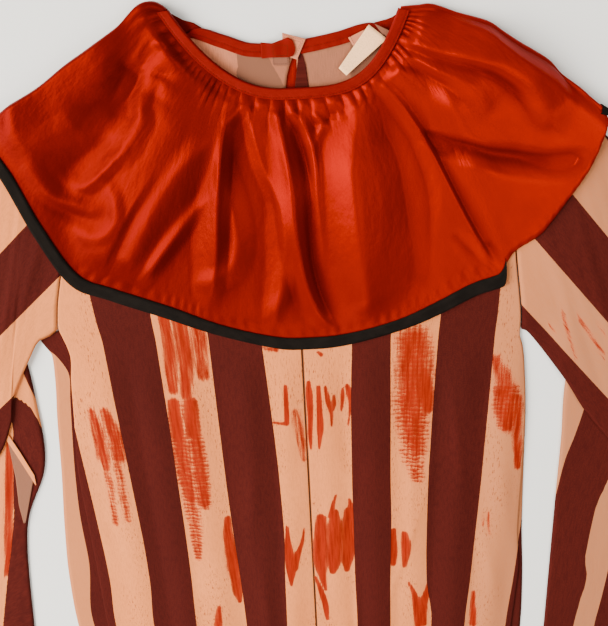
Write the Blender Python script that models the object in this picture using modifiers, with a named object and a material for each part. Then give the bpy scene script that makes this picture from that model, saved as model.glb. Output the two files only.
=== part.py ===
"""Clown costume: a striped one-piece suit with a gathered satin ruffle collar, lying on its back.

All sizes below are in millimetres. The suit lies face up on the floor at z = 0: +Y runs from the
hems to the neck and +X to the viewer's right. Left and right are the viewer's. Layers go up from
the floor: ruffle (back half), back panels, front panels, ruffle (front half); each sleeve is a
flattened tube that is folded under itself at the elbow.
"""

import math

import bmesh
import bpy
import numpy as np
from mathutils import Vector

# Driving dimensions
CLOTH = 1.2            # wall of the striped cloth
SATIN = 1.1            # wall of the ruffle
TAPE = 0.8             # wall of bindings, black trim and the closure tab
THIN = 0.7             # wall of hook tapes and labels
SEAM = 0.3             # clearance between pieces that are sewn or lie together
LAYER = 0.5            # clearance between front and back of the suit
LIES = 0.35            # clearance under what lies on a panel
BACK_RISE = 3.1        # height of the back panels where the ruffle's back half lies under them
FOREARM_RISE = 3.8     # height of an upper arm where it lies over its own forearm
SUIT_CENTRE = (-34.1, -349.9)   # middle of the suit's outline, placed over the world's origin

NECK_X = -1.0             # middle of the neck opening
NECK_HALF = 95.0          # half its width, inside the binding
NECK_TOP = 316.0          # where the neck meets the shoulder folds
FRONT_NECK = 245.0        # lowest point of the front neck edge
BACK_NECK = 279.0         # lowest point of the back neck edge
FRONT_BEND = (2.3, 4.3)   # how squarely the front neck edge turns up on its left and right sides
BACK_BEND = 3.2           # and the back neck edge on both
BINDING = 10.5            # width of the neck binding
TUCK = 2.6                # how far the panels' edges stay inside the binding's fold
HELD_FLAT = 10.4          # how far the neck binding holds the ruffle flat

TRIM_SHARE = 0.055     # share of the ruffle's depth that the black trim covers
CROTCH = -500.0        # where the legs part
HEM = -1020.0          # lower edge of the legs
SLIT_FOOT = 110.0      # lowest point of the opening in the back

# Outer edge of the ruffle's front half, from the left shoulder fold to the right one
RUFFLE_FRONT = [  # x, y
    (-264, 228), (-266, 205), (-255, 177), (-239, 125), (-216, 75), (-182, 58), (-127, 37),
    (-75, 15), (-26, 0), (6, -2), (45, 2), (96, 18), (134, 36), (166, 53), (192, 63),
    (206, 76), (222, 110), (236, 134), (254, 166), (263, 196), (264, 214),
]
# Outer edge of each back half, from its shoulder fold to the opening
RUFFLE_BACK_LEFT = [  # x, y
    (-264, 228), (-256, 196), (-236, 150), (-212, 95), (-178, 66), (-110, 50), (9.3, 42),
]
RUFFLE_BACK_RIGHT = [  # x, y
    (264, 214), (256, 188), (236, 145), (212, 95), (180, 66), (110, 50), (9.9, 42),
]

# How the ruffle's outer edge is shared out along the neck
GATHERING = [  # share of the outer edge, share of the neck seam
    (0.0, 0.0), (0.238, 0.213), (0.391, 0.3125), (0.514, 0.504), (0.777, 0.89), (1.0, 1.0),
]

# Folds of the ruffle's front half. Each runs from share a at the neck to share b at the edge,
# between depths start and end (0 neck, 1 edge), in millimetres of width and height.
RUFFLE_FOLDS = [  # a, b, start, end, width, height
    (0.068, 0.010, 0.02, 0.80, 12, 13),
    (0.120, 0.120, 0.02, 0.42, 9, 11),
    (0.172, 0.118, 0.10, 0.90, 13, 12),
    (0.246, 0.234, 0.01, 0.96, 11, 17),
    (0.310, 0.305, 0.01, 0.60, 11, 10),
    (0.388, 0.392, 0.01, 0.85, 9, 15),
    (0.420, 0.415, 0.15, 0.85, 8, 8),
    (0.452, 0.512, 0.04, 0.55, 9, 10),
    (0.498, 0.543, 0.00, 1.00, 8, 14),
    (0.563, 0.545, 0.02, 0.80, 6, 8),
    (0.632, 0.576, 0.03, 0.95, 15, 14),
    (0.722, 0.700, 0.06, 0.30, 12, 9),
    (0.745, 0.770, 0.03, 1.00, 13, 20),
    (0.823, 0.945, 0.03, 0.60, 12, 14),
    (0.905, 1.000, 0.02, 0.90, 14, 13),
    (0.880, 0.890, 0.45, 1.00, 26, 7),
]
GATHERS_FRONT = 24     # small gathers along the front neck seam
GATHERS_BACK = 7       # on each back half

# Side edges of the suit
SIDES = [  # y, front left, back left, front right, back right
    (24, -240, -240, 211, 211), (10, -238, -243, 212.2, 212.4), (-5, -236, -254, 216, 217),
    (-34, -241, -260, 221, 222), (-84, -248, -267, 227, 228), (-152, -258, -277, 231, 233),
    (-242, -262, -292, 235, 240), (-315, -265, -302, 243, 248), (-396, -269, -308, 243, 254),
    (-500, -272, -310, 248, 257), (-650, -268, -303, 250, 256), (-850, -262, -289, 246, 251),
    (-1020, -257, -276, 241, 245),
]
# Armhole seams, from the underarm up to the shoulder
ARMHOLES = [  # y, left, right
    (12, -239.5, 211.8), (24, -240, 211), (48, -236, 207.5), (78, -227, 202), (110, -216, 197),
    (150, -207, 194), (205, -202, 193), (251, -200, 193),
]

# Sleeves: the lower (underarm) edge and the upper edge of the upper arm, ending on the elbow
# fold, and then the forearm's inner and outer edges down to the cuff
SLEEVE_LEFT = {
    "under": [(-241.4, 22.5), (-262, 18), (-278, -9), (-296, -38), (-314, -75), (-352, -132), (-450, -215)],
    "over": [(-201.4, 250), (-234, 227), (-270, 202)],
    "inner": [(-270, 202), (-281, 60), (-284, -60), (-294, -146), (-336, -239), (-366, -404), (-380, -500)],
    "outer": [(-450, -215), (-480, -330), (-500, -404), (-510, -500)],
    "side": -1,
}
SLEEVE_RIGHT = {
    "under": [(215.4, 14), (226, 6), (262, -42), (286, -80), (315, -117), (365, -172), (440, -250)],
    "over": [(194.4, 250), (238, 217), (285, 180)],
    "inner": [(285, 180), (268, 60), (263, -44), (268, -119), (272, -201), (283, -405), (288, -490)],
    "outer": [(440, -250), (437, -330), (431, -405), (425, -490)],
    "side": 1,
}
SLEEVE_BULGE = 2.3     # how far a sleeve's top wall stands up between its creases

# Long soft folds down the front panels
FRONT_FOLDS = [  # x at the ruffle, x at the hem, half width, height
    (-205, -225, 26, 2.6), (-160, -176, 20, 1.5), (-118, -120, 24, 2.2), (-60, -70, 22, 1.8),
    (-14, -46, 16, 1.4), (18, 50, 18, 1.7), (66, 88, 24, 2.4), (118, 130, 20, 1.8),
    (160, 176, 22, 2.6), (206, 222, 20, 2.2),
]

COLOURS = {  # linear base colour, roughness
    "striped_cloth": ((0.30, 0.10, 0.08), 0.85),
    "satin": ((0.62, 0.035, 0.008), 0.35),
    "binding": ((0.42, 0.03, 0.01), 0.7),
    "trim": ((0.012, 0.009, 0.008), 0.8),
    "tape": ((0.62, 0.50, 0.42), 0.8),
    "label": ((0.80, 0.70, 0.62), 0.7),
}


# ---------------------------------------------------------------- small helpers

def ease(t):
    """0 below 0, 1 above 1, smooth between."""
    t = np.clip(t, 0.0, 1.0)
    return t * t * (3 - 2 * t)


def through(x, table, column=1):
    """A smooth monotone curve through two columns of a table, read at x."""
    rows = sorted(table)
    xs = np.array([row[0] for row in rows], float)
    ys = np.array([row[column] for row in rows], float)
    step = np.diff(xs)
    slope = np.diff(ys) / step
    turn = np.zeros_like(ys)
    same = slope[:-1] * slope[1:] > 0
    turn[1:-1][same] = 2 * slope[:-1][same] * slope[1:][same] / (slope[:-1] + slope[1:])[same]
    turn[0], turn[-1] = slope[0], slope[-1]
    x = np.clip(x, xs[0], xs[-1])
    i = np.clip(np.searchsorted(xs, x) - 1, 0, len(step) - 1)
    t = (x - xs[i]) / step[i]
    return (ys[i] * (1 + 2 * t) * (1 - t) ** 2 + step[i] * turn[i] * t * (1 - t) ** 2
            + ys[i + 1] * t * t * (3 - 2 * t) + step[i] * turn[i + 1] * t * t * (t - 1))


def curve(points, steps=10):
    """A smooth polyline through the given points."""
    p = np.array(points, float)
    p = np.vstack([2 * p[0] - p[1], p, 2 * p[-1] - p[-2]])
    out = []
    for a, b, c, d in zip(p, p[1:], p[2:], p[3:]):
        for t in np.linspace(0, 1, steps, endpoint=False):
            out.append(0.5 * (2 * b + (c - a) * t + (2 * a - 5 * b + 4 * c - d) * t * t
                              + (3 * b - a - 3 * c + d) * t ** 3))
    out.append(p[-2])
    return np.array(out)


def along(line, shares):
    """Points at shares of a polyline's length."""
    length = np.r_[0, np.cumsum(np.hypot(*np.diff(line, axis=0).T))]
    length /= length[-1]
    return np.stack([np.interp(shares, length, line[:, 0]), np.interp(shares, length, line[:, 1])], -1)


def normals(grid):
    """Unit normals of a grid of points."""
    n = np.cross(np.gradient(grid, axis=1), np.gradient(grid, axis=0))
    return n / np.linalg.norm(n, axis=-1, keepdims=True)


# ---------------------------------------------------------------- shared heights

def front_neck(s, w):
    """Front neck edge: s runs from -1 to 1 across it, w is the distance out from the inside."""
    s = np.asarray(s, float)
    x = NECK_X + (NECK_HALF + 1.05 * w) * s
    low = FRONT_NECK - 0.95 * w
    bend = np.where(s < 0, *FRONT_BEND)
    return np.stack([x, low + (NECK_TOP - low) * np.abs(s) ** bend], -1)


def back_neck(s, w):
    """Back neck edge, in the same terms."""
    s = np.asarray(s, float)
    x = NECK_X + (NECK_HALF + 1.05 * w) * s
    low = BACK_NECK - w
    return np.stack([x, low + (NECK_TOP - low) * np.abs(s) ** BACK_BEND], -1)


def neck_clearance(x, y):
    """About how far a point lies outside the front neck seam."""
    s = np.clip((x - NECK_X) / NECK_HALF, -1, 1)
    bend = np.where(s < 0, *FRONT_BEND)
    edge = FRONT_NECK + (NECK_TOP - FRONT_NECK) * np.abs(s) ** bend
    steep = (NECK_TOP - FRONT_NECK) * bend * np.abs(s) ** (bend - 1) / NECK_HALF
    beside = np.maximum(np.abs(x - NECK_X) - NECK_HALF, 0)
    return np.hypot(np.maximum(edge - y, 0) / np.hypot(1, steep), beside)


def back_floor(x, y):
    """Underside of the back panels: on the floor, or over the ruffle's back half."""
    return BACK_RISE * ease((y - 6) / 30)


def sleeve_floor(x, y):
    """Underside of an upper arm: over the ruffle and over its own forearm."""
    over_ruffle = back_floor(x, y) / FOREARM_RISE
    over_forearm = ease((np.abs(x) - 233) / 28)
    return FOREARM_RISE * (1 - (1 - over_ruffle) * (1 - over_forearm))


def binding_floor(x):
    """Underside of the front neck binding, which lies over the back one near the shoulders."""
    return BACK_RISE + CLOTH + 0.4 + 1.4 * ease((np.abs(x - NECK_X) - 48) / 22)


def front_folds(x, y):
    """Soft folds of the front panels, which start below the ruffle."""
    down = np.clip((20 - y) / 1000, 0, 1)
    height = 0 * x
    for x_top, x_hem, half, tall in FRONT_FOLDS:
        height = np.maximum(height, tall * np.exp(-((x - x_top - (x_hem - x_top) * down) / half) ** 2))
    return height * ease((20 - y) / 90)


def front_floor(x, y):
    """Underside of the front panels."""
    flat = back_floor(x, y) + CLOTH + LAYER
    lift = binding_floor(x) + TAPE + SEAM - (BACK_RISE + CLOTH + LAYER)
    return flat + lift * (1 - ease((neck_clearance(x, y) - 12) / 26)) + front_folds(x, y)


def ruffle_floor(x, y):
    """Underside of the ruffle's front half, before its own folds."""
    over_sleeve = 3.7 * ease((np.abs(x) - 196) / 46)
    rise = sleeve_floor(x, y) - back_floor(x, y)
    over_step = 2.4 * np.exp(-((y - 30) / 24) ** 2)
    above = front_floor(x, y) + CLOTH + 0.6 + over_step
    return above + rise * ease((np.abs(x) - 205) / 30) + over_sleeve


# ---------------------------------------------------------------- making solids

def place(point):
    """Millimetres in the suit's own frame to metres in the world."""
    x, y, z = point
    return Vector(((x - SUIT_CENTRE[0]) / 1000, (y - SUIT_CENTRE[1]) / 1000, z / 1000))


def material(slot):
    found = bpy.data.materials.get(slot)
    if found:
        return found
    made = bpy.data.materials.new(slot)
    made.use_nodes = True
    shader = made.node_tree.nodes["Principled BSDF"]
    colour, rough = COLOURS[slot]
    shader.inputs["Base Color"].default_value = (*colour, 1)
    shader.inputs["Roughness"].default_value = rough
    return made


def new_object(name, tool, slot):
    mesh = bpy.data.meshes.new(name)
    tool.to_mesh(mesh)
    tool.free()
    piece = bpy.data.objects.new(name, mesh)
    suit.objects.link(piece)
    mesh.materials.append(material(slot))
    mesh.shade_smooth()
    return piece


def sheet(name, grid, wall, slot):
    """A cloth sheet: an open surface through a grid of points, thickened on its face side."""
    tool = bmesh.new()
    rows = [[tool.verts.new(place(point)) for point in row] for row in grid]
    for low, high in zip(rows, rows[1:]):
        for a, b, c, d in zip(low, low[1:], high[1:], high):
            tool.faces.new((a, b, c, d))
    piece = new_object(name, tool, slot)
    thicken = piece.modifiers.new("Wall", "SOLIDIFY")
    thicken.thickness = wall / 1000
    thicken.offset = 1


def shell(name, inner, outer, slot):
    """A cloth wall between two grids of points, the inner side and the outer one."""
    tool = bmesh.new()
    sides = [[[tool.verts.new(place(point)) for point in row] for row in grid] for grid in (inner, outer)]
    for rows, flip in zip(sides, (True, False)):
        for low, high in zip(rows, rows[1:]):
            for a, b, c, d in zip(low, low[1:], high[1:], high):
                for face in ((a, b, c), (a, c, d)):
                    tool.faces.new(face[::-1] if flip else face)
    rims = []
    for rows in sides:
        last = [row[-1] for row in rows]
        first = [row[0] for row in reversed(rows)]
        rims.append(rows[0] + last[1:] + rows[-1][::-1][1:] + first[1:-1])
    below, above = rims
    for i in range(len(below)):
        tool.faces.new((below[i - 1], below[i], above[i], above[i - 1]))
    new_object(name, tool, slot)


def loft(name, sections, slot, hollow=None):
    """A closed band through sections of points. With a second set inside it, a tube's wall."""
    tool = bmesh.new()
    outside = [[tool.verts.new(place(point)) for point in section] for section in sections]
    layers = [(outside, False)]
    if hollow is None:
        tool.faces.new(reversed(outside[0]))
        tool.faces.new(outside[-1])
    else:
        inside = [[tool.verts.new(place(point)) for point in section] for section in hollow]
        layers.append((inside, True))
        for near, far, flip in ((inside[0], outside[0], False), (inside[-1], outside[-1], True)):
            for i in range(len(near)):
                face = (near[i], near[i - 1], far[i - 1], far[i])
                tool.faces.new(tuple(reversed(face)) if flip else face)
    for rings, flip in layers:
        for low, high in zip(rings, rings[1:]):
            for i in range(len(low)):
                face = (low[i - 1], low[i], high[i], high[i - 1])
                tool.faces.new(tuple(reversed(face)) if flip else face)
    bmesh.ops.recalc_face_normals(tool, faces=tool.faces)
    new_object(name, tool, slot)


# ---------------------------------------------------------------- body panels

PANEL_COLUMNS = (0.0, 0.11, 0.3, 0.5, 0.7, 0.87, 1.0)    # shares of a panel's width
RAMP_ROWS = (60, 36, 29, 21, 13, 6)                      # down the step off the ruffle's back half
TORSO_ROWS = np.linspace(-18, CROTCH + 0.1, 9)
LEG_ROWS = np.linspace(CROTCH - 8, HEM, 7)


def panel_grid(inner, outer, height):
    """Rows from an inner edge to an outer one, both lists of x, y with the same count."""
    share = np.array(PANEL_COLUMNS)[None, :, None]
    flat = inner[:, None, :] * (1 - share) + outer[:, None, :] * share
    return np.dstack([flat, height(flat[..., 0], flat[..., 1])[..., None]])


def outer_edge(ys, side, part):
    """Armhole seam above the underarm and side edge below it; part is 0 for front, 1 for back."""
    armhole = through(ys, ARMHOLES, 1 if side < 0 else 2)
    edge = through(ys, SIDES, (1 if side < 0 else 3) + part)
    return np.stack([np.where(ys > 22, armhole, edge), ys], -1)


def inseam(ys, side):
    """Inner edge below the neck: the centre seam, then the inside leg."""
    spread = 3 + 30 * ease((CROTCH - ys) / 380)
    x = np.where(ys > CROTCH, SEAM / 2, spread)
    return np.stack([side * x, ys], -1)


def panel(name, side, part, upper_inner, height):
    """One body panel: slanting rows from the shoulder down, then level ones to the hem."""
    level = np.r_[RAMP_ROWS, TORSO_ROWS, LEG_ROWS]
    upper_outer = outer_edge(np.linspace(251, 78, len(upper_inner)), side, part)
    inner = np.vstack([upper_inner, inseam(level, side)])
    outer = np.vstack([upper_outer, outer_edge(level, side, part)])
    grid = panel_grid(inner, outer, height)
    sheet(name, grid if side < 0 else grid[:, ::-1], CLOTH, "striped_cloth")


def front_panel(name, side):
    neck = front_neck(side * np.array([0.96, 0.89, 0.8, 0.68, 0.53, 0.36, 0.18, 0.0]), TUCK)
    neck[-1, 0] = side * SEAM / 2
    centre = inseam(np.array([195.0, 150.0, 105.0]), side)
    panel(name, side, 0, np.vstack([neck, centre]), front_floor)


def back_panel(name, side):
    neck = back_neck(side * np.array([0.955, 0.88, 0.78, 0.65, 0.48, 0.3, 0.15]), TUCK)
    opening = np.array([(8.0, 276.0), (-2.0, 245.0), (-1.0, 180.0), (-SEAM / 2, SLIT_FOOT)])
    if side > 0:
        opening = np.array([(8.4, 276.0), (7.0, 245.0), (3.0, 180.0), (SEAM / 2, SLIT_FOOT)])
    panel(name, side, 1, np.vstack([neck, opening]), back_floor)


# ---------------------------------------------------------------- sleeves

ELBOW_TURNS = (0, 30, 60, 90, 120, 150, 180)     # degrees round the elbow fold
ACROSS = (0.0, 0.02, 0.22, 0.5, 0.78, 0.98, 1.0) # shares of a sleeve's flat width
MID = FOREARM_RISE - 0.3                         # height of the elbow fold's middle


def sleeve_loop(flats, middle, turn, away, out, inn, bulge):
    """One section of a flattened tube, through flat points from its underarm edge to its upper one."""
    c, s = math.cos(math.radians(turn)), math.sin(math.radians(turn))
    top, bottom, ends = [], [], []
    for share, flat in zip(ACROSS, flats):
        z = middle(flat)
        puff = bulge * math.sin(math.pi * share)
        if share in (0.0, 1.0):
            reach = (out + inn) / 2
            ends.append((*(flat + away * s * reach), z + c * reach))
            continue
        top.append((*(flat + away * s * (out + puff)), z + c * (out + puff)))
        bottom.append((*(flat + away * s * inn), z + c * inn))
    return [ends[0], *top, ends[1], *reversed(bottom)]


def straight(low, high):
    return np.array([low + (high - low) * share for share in ACROSS])


def sleeve(name, shape):
    """Upper arm from the armhole to the elbow fold, then the forearm under it, to the cuff."""
    under, over = curve(shape["under"]), curve(shape["over"])
    inner, outer = curve(shape["inner"]), curve(shape["outer"])
    side = shape["side"]
    fold = under[-1] - over[-1]
    away = np.array([-fold[1], fold[0]]) / np.hypot(*fold)
    away *= math.copysign(1, away[0] * side)
    seam_y = straight(under[0], over[0])[:, 1]
    seam = np.stack([through(seam_y, ARMHOLES, 1 if side < 0 else 2) + side * 1.4, seam_y], -1)
    bow = seam - straight(under[0], over[0])

    def over_body(flat):
        return float(sleeve_floor(flat[0], flat[1])) - 0.3

    def over_floor(flat):
        return MID

    stations = []
    for share in np.linspace(0, 1, 10)[:-1]:
        flats = straight(along(under, share), along(over, share)) + bow * (1 - ease(share / 0.5))
        stations.append((flats, over_body, 0, float(ease(share / 0.3)) * SLEEVE_BULGE))
    for turn in ELBOW_TURNS:
        flats = straight(under[-1], over[-1])
        stations.append((flats, over_floor, turn, SLEEVE_BULGE * (1 - turn / 180)))
    for share in np.linspace(0, 1, 11)[1:]:
        stations.append((straight(along(outer, share), along(inner, share)), over_floor, 180, 0.0))
    outside, inside = [], []
    for flats, middle, turn, bulge in stations:
        edge = (flats[-1] - flats[0]) / np.hypot(*(flats[-1] - flats[0]))
        inset = flats.copy()
        inset[0] += edge * CLOTH
        inset[-1] -= edge * CLOTH
        outside.append(sleeve_loop(flats, middle, turn, away, MID, 0.3, bulge))
        inside.append(sleeve_loop(inset, middle, turn, away, MID - CLOTH, 0.3 + CLOTH, bulge))
    loft(name, outside, "striped_cloth", hollow=inside)


# ---------------------------------------------------------------- ruffle and its trim

DEPTHS = (0.0, 0.05, 0.09, 0.18, 0.31, 0.47, 0.63, 0.79, 1 - TRIM_SHARE, 1.0)
FRONT_COLUMNS = 97     # points along the ruffle's front half
BACK_COLUMNS = 15      # points along each back half
TURNS = (36, 72, 108, 144)             # degrees round a shoulder fold
OPENING = (9.3, 9.9)                   # x of the ruffle's two ends at the opening in the back


def rays(neck, out, edge, reach, depths):
    """Curved lines that leave the neck square to it and end on the outer edge."""
    v = np.asarray(depths)[None, :, None]
    neck, out, edge = neck[:, None, :], out[:, None, :], edge[:, None, :]
    leave = neck + reach[:, None, None] * out
    arrive = edge - (edge - neck) / 3
    return (neck * (1 - v) ** 3 + 3 * leave * v * (1 - v) ** 2
            + 3 * arrive * v ** 2 * (1 - v) + edge * v ** 3)


def neck_line(neck, first, last, shares):
    """Points and outward directions along a neck edge, from s = first to s = last."""
    s = np.linspace(first, last, 201)
    line = neck(s, TUCK)
    length = np.r_[0, np.cumsum(np.hypot(*np.diff(line, axis=0).T))]
    at = np.interp(shares, length / length[-1], s)
    start, end = neck(at, TUCK), neck(at, BINDING)
    out = end - start
    return start, out / np.linalg.norm(out, axis=1, keepdims=True)


def fold_height(b, v):
    """Height of the ruffle's folds at share b of the edge and depth v."""
    width = 266 + (770 - 266) * v
    total = 0 * (b + v)
    for a, e, start, end, half, tall in RUFFLE_FOLDS:
        centre = a + (e - a) * v
        swell = half * (0.55 + 0.75 * v)
        rise = ease((v - start + 0.06) / 0.16) * (1 - ease((v - end) / 0.22))
        total = total + (tall * rise * np.exp(-((b - centre) * width / swell) ** 2)) ** 2
    gather = (1.1 + 0.4 * np.sin(17 * b)) * (1 + np.cos(2 * math.pi * GATHERS_FRONT * b))
    return np.sqrt(total) + gather * (1 - ease((v - 0.12) / 0.25))


def ruffle_roll(b):
    """How much the ruffle's edge curls under, which it does only along its right side."""
    return ease((b - 0.79) / 0.04) * (1 - ease((b - 0.985) / 0.015))


def ruffle_front_grid(columns, depths):
    b = np.linspace(0, 1, columns)
    neck, out = neck_line(front_neck, -1, 1, through(b, GATHERING))
    edge = along(curve(RUFFLE_FRONT), b)
    flat = rays(neck, out, edge, 26 + 34 * np.sin(math.pi * b), depths)
    bb, vv = np.meshgrid(b, np.asarray(depths), indexing="ij")
    loose = ease((np.linalg.norm(flat - neck[:, None, :], axis=-1) - HELD_FLAT) / 8)
    z = ruffle_floor(flat[..., 0], flat[..., 1]) + fold_height(bb, vv) * loose
    z += 4 * ease((vv - 0.15) / 0.3) * ease((bb - 0.79) / 0.06)
    drop = ruffle_roll(b)[:, None] * ease((vv - (1 - TRIM_SHARE)) / TRIM_SHARE)
    inward = (neck - edge) / np.linalg.norm(neck - edge, axis=1, keepdims=True)
    flat = flat + (drop * 7.0)[..., None] * inward[:, None, :]
    floor = ruffle_floor(flat[..., 0], flat[..., 1])
    z = z * (1 - drop) + np.maximum(floor + SATIN + TAPE + 1.0, z - 10) * drop
    return np.dstack([flat, z[..., None]])


def ruffle_back_grid(side, columns, depths):
    share = np.linspace(0, 1, columns)
    meet = OPENING[0 if side < 0 else 1]
    last = (meet - NECK_X) / (NECK_HALF + 1.05 * TUCK)
    neck, out = neck_line(back_neck, side, last, share)
    edge = along(curve(RUFFLE_BACK_LEFT if side < 0 else RUFFLE_BACK_RIGHT), share)
    flat = rays(neck, out, edge, 26 + 34 * share, depths)
    ss, vv = np.meshgrid(share, np.asarray(depths), indexing="ij")
    wave = 0.15 * (1 - np.cos(2 * math.pi * GATHERS_BACK * ss)) * ease((vv - 0.06) / 0.1)
    z = TAPE + LIES + SATIN + wave
    return np.dstack([flat, z[..., None]])


def turn_over(front, back):
    """Rows that carry the ruffle round a shoulder fold, from the front's edge to the back's."""
    flat = front[:, :2]
    run = np.gradient(flat, axis=0)
    away = np.stack([-run[:, 1], run[:, 0]], -1) / np.linalg.norm(run, axis=1, keepdims=True)
    away *= np.sign(away[0, 1])
    reach = (front[:, 2] - back[:, 2]) / 2
    middle = (front[:, 2] + back[:, 2]) / 2
    rows = []
    for turn in TURNS:
        c, s = math.cos(math.radians(turn)), math.sin(math.radians(turn))
        share = turn / 180
        at = flat * (1 - share) + back[:, :2] * share + away * (s * reach)[:, None]
        rows.append(np.column_stack([at, middle + c * reach]))
    return np.array(rows)


def ruffle_grid():
    """The whole ruffle's inside surface, from the opening in the back, left, round to the right."""
    left = ruffle_back_grid(-1, BACK_COLUMNS, DEPTHS)
    front = ruffle_front_grid(FRONT_COLUMNS, DEPTHS)
    right = ruffle_back_grid(1, BACK_COLUMNS, DEPTHS)
    over_left = turn_over(front[0], left[0])[::-1]
    over_right = turn_over(front[-1], right[0])
    return np.vstack([left[::-1], over_left, front, over_right, right])


# ---------------------------------------------------------------- neck binding, tapes, labels

def binding(name, neck, first, last, stations, levels):
    """A strip folded round the neck edge: a C section with levels(x) = its four heights."""
    sections = []
    for s in np.linspace(first, last, stations):
        start, end = neck(s, 0.0), neck(s, BINDING)
        out = (end - start) / np.hypot(*(end - start))
        z0, z1, z2, z3 = levels(start[0])
        profile = [(0, z0), (BINDING, z0), (BINDING, z1), (TAPE, z1),
                   (TAPE, z2), (BINDING, z2), (BINDING, z3), (0, z3)]
        sections.append([(*(start + out * w), z) for w, z in profile])
    loft(name, sections, "binding")


def front_levels(x):
    low = float(binding_floor(x))
    top = low + TAPE + SEAM + CLOTH + 0.6 + SATIN + 1.7
    return low, low + TAPE, top, top + TAPE


def back_levels(x):
    top = BACK_RISE + CLOTH + LIES
    return 0.0, TAPE, top, top + TAPE


def flat_patch(name, corners, z, wall, slot):
    """A small level piece of tape or label on four corners, given in turn."""
    a, b, c, d = [np.array((*corner, z)) for corner in corners]
    grid = []
    for t in (0.0, 0.5, 1.0):
        left, right = a + (d - a) * t, b + (c - b) * t
        grid.append([left + (right - left) * u for u in (0.0, 0.5, 1.0)])
    sheet(name, np.array(grid), wall, slot)


def build():
    for found in list(bpy.data.objects):
        bpy.data.objects.remove(found, do_unlink=True)
    front_panel("front_left", -1)
    front_panel("front_right", 1)
    back_panel("back_left", -1)
    back_panel("back_right", 1)
    sleeve("sleeve_left", SLEEVE_LEFT)
    sleeve("sleeve_right", SLEEVE_RIGHT)

    grid = ruffle_grid()
    out = normals(grid)
    shell("ruffle", grid, grid + out * SATIN, "satin")
    edge, edge_out = grid[:, -2:], out[:, -2:]
    shell("ruffle_trim", edge + edge_out * (SATIN + LIES),
          edge + edge_out * (SATIN + LIES + TAPE), "trim")

    binding("binding_front", front_neck, -1, 1, 33, front_levels)
    left_end, right_end = (-6.0 - NECK_X) / NECK_HALF, (10.4 - NECK_X) / NECK_HALF
    binding("binding_back_left", back_neck, -1, left_end, 13, back_levels)
    binding("binding_back_right", back_neck, right_end, 1, 13, back_levels)

    on_cloth = BACK_RISE + CLOTH + LIES
    on_binding = on_cloth + TAPE + SEAM
    flat_patch("tape_left", [(-11.5, 258.5), (1.5, 258.5), (1.5, 268), (-11.5, 268)],
               on_cloth, THIN, "tape")
    flat_patch("tape_right", [(-3.5, 271), (9, 265), (17.5, 284), (-1, 290)],
               on_binding, THIN, "tape")
    flat_patch("closure_tab", [(-20, 268), (6, 268.5), (6.5, 280), (-20, 281)],
               on_binding + THIN + 0.4, TAPE, "binding")
    flat_patch("care_label", [(42.5, 261), (49, 254.5), (76, 279.5), (66, 289)],
               on_binding, THIN, "label")


suit = bpy.data.collections.new("clown_costume")
bpy.context.scene.collection.children.link(suit)
build()
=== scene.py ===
"""Looks of the clown costume: striped cloth with paint on it, a satin ruffle, bindings, light, camera.

All sizes are in millimetres in the suit's own frame, as in the part's source: +Y runs from the hems
to the neck, +X to the viewer's right, +Z up from the floor. place() turns them into the world's
metres. Left and right are the viewer's.
"""

import math

import bmesh
import bpy
import numpy as np
from mathutils import Matrix, Vector

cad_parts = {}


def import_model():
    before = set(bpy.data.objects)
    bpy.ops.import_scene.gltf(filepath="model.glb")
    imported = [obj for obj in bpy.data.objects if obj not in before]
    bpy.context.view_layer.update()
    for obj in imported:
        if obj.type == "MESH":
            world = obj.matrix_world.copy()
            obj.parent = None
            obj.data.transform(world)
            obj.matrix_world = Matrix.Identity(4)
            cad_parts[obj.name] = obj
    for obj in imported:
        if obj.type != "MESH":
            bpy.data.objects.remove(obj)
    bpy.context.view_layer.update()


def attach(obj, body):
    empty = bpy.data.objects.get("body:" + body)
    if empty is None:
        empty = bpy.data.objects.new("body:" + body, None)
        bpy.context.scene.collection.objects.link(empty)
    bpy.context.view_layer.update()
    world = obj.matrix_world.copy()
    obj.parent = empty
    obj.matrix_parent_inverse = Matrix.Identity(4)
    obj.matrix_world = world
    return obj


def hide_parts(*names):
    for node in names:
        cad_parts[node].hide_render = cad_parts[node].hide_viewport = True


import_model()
bpy.ops.object.select_all(action="DESELECT")

# ---------------------------------------------------------------- sizes shared with the solids

CLOTH = 1.2            # wall of the striped cloth's solids
SATIN = 1.1            # wall of the ruffle's solid
TAPE = 0.8             # wall of the bindings' and the trim's solids
SEAM = 0.3             # clearance between solids that are sewn or lie together
LAYER = 0.5            # clearance between the front and the back of the suit
LIES = 0.35            # clearance under what lies on a panel
RUFFLE_CLEARANCE = 0.6    # clearance under the ruffle's front half
BACK_RISE = 3.1        # height of the back panels where the ruffle's back half lies under them
FOREARM_RISE = 3.8     # height of an upper arm where it lies over its own forearm
BINDING_RISE = 1.4     # how much the front binding climbs onto the back one
SLEEVE_RISE = 3.7      # how much the ruffle climbs onto a sleeve
ARMHOLE_RISE = 2.4     # and onto the underarm, where sleeve and panels meet
SUIT_CENTRE = (-34.1, -349.9)    # middle of the suit's outline, placed over the world's origin

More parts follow.
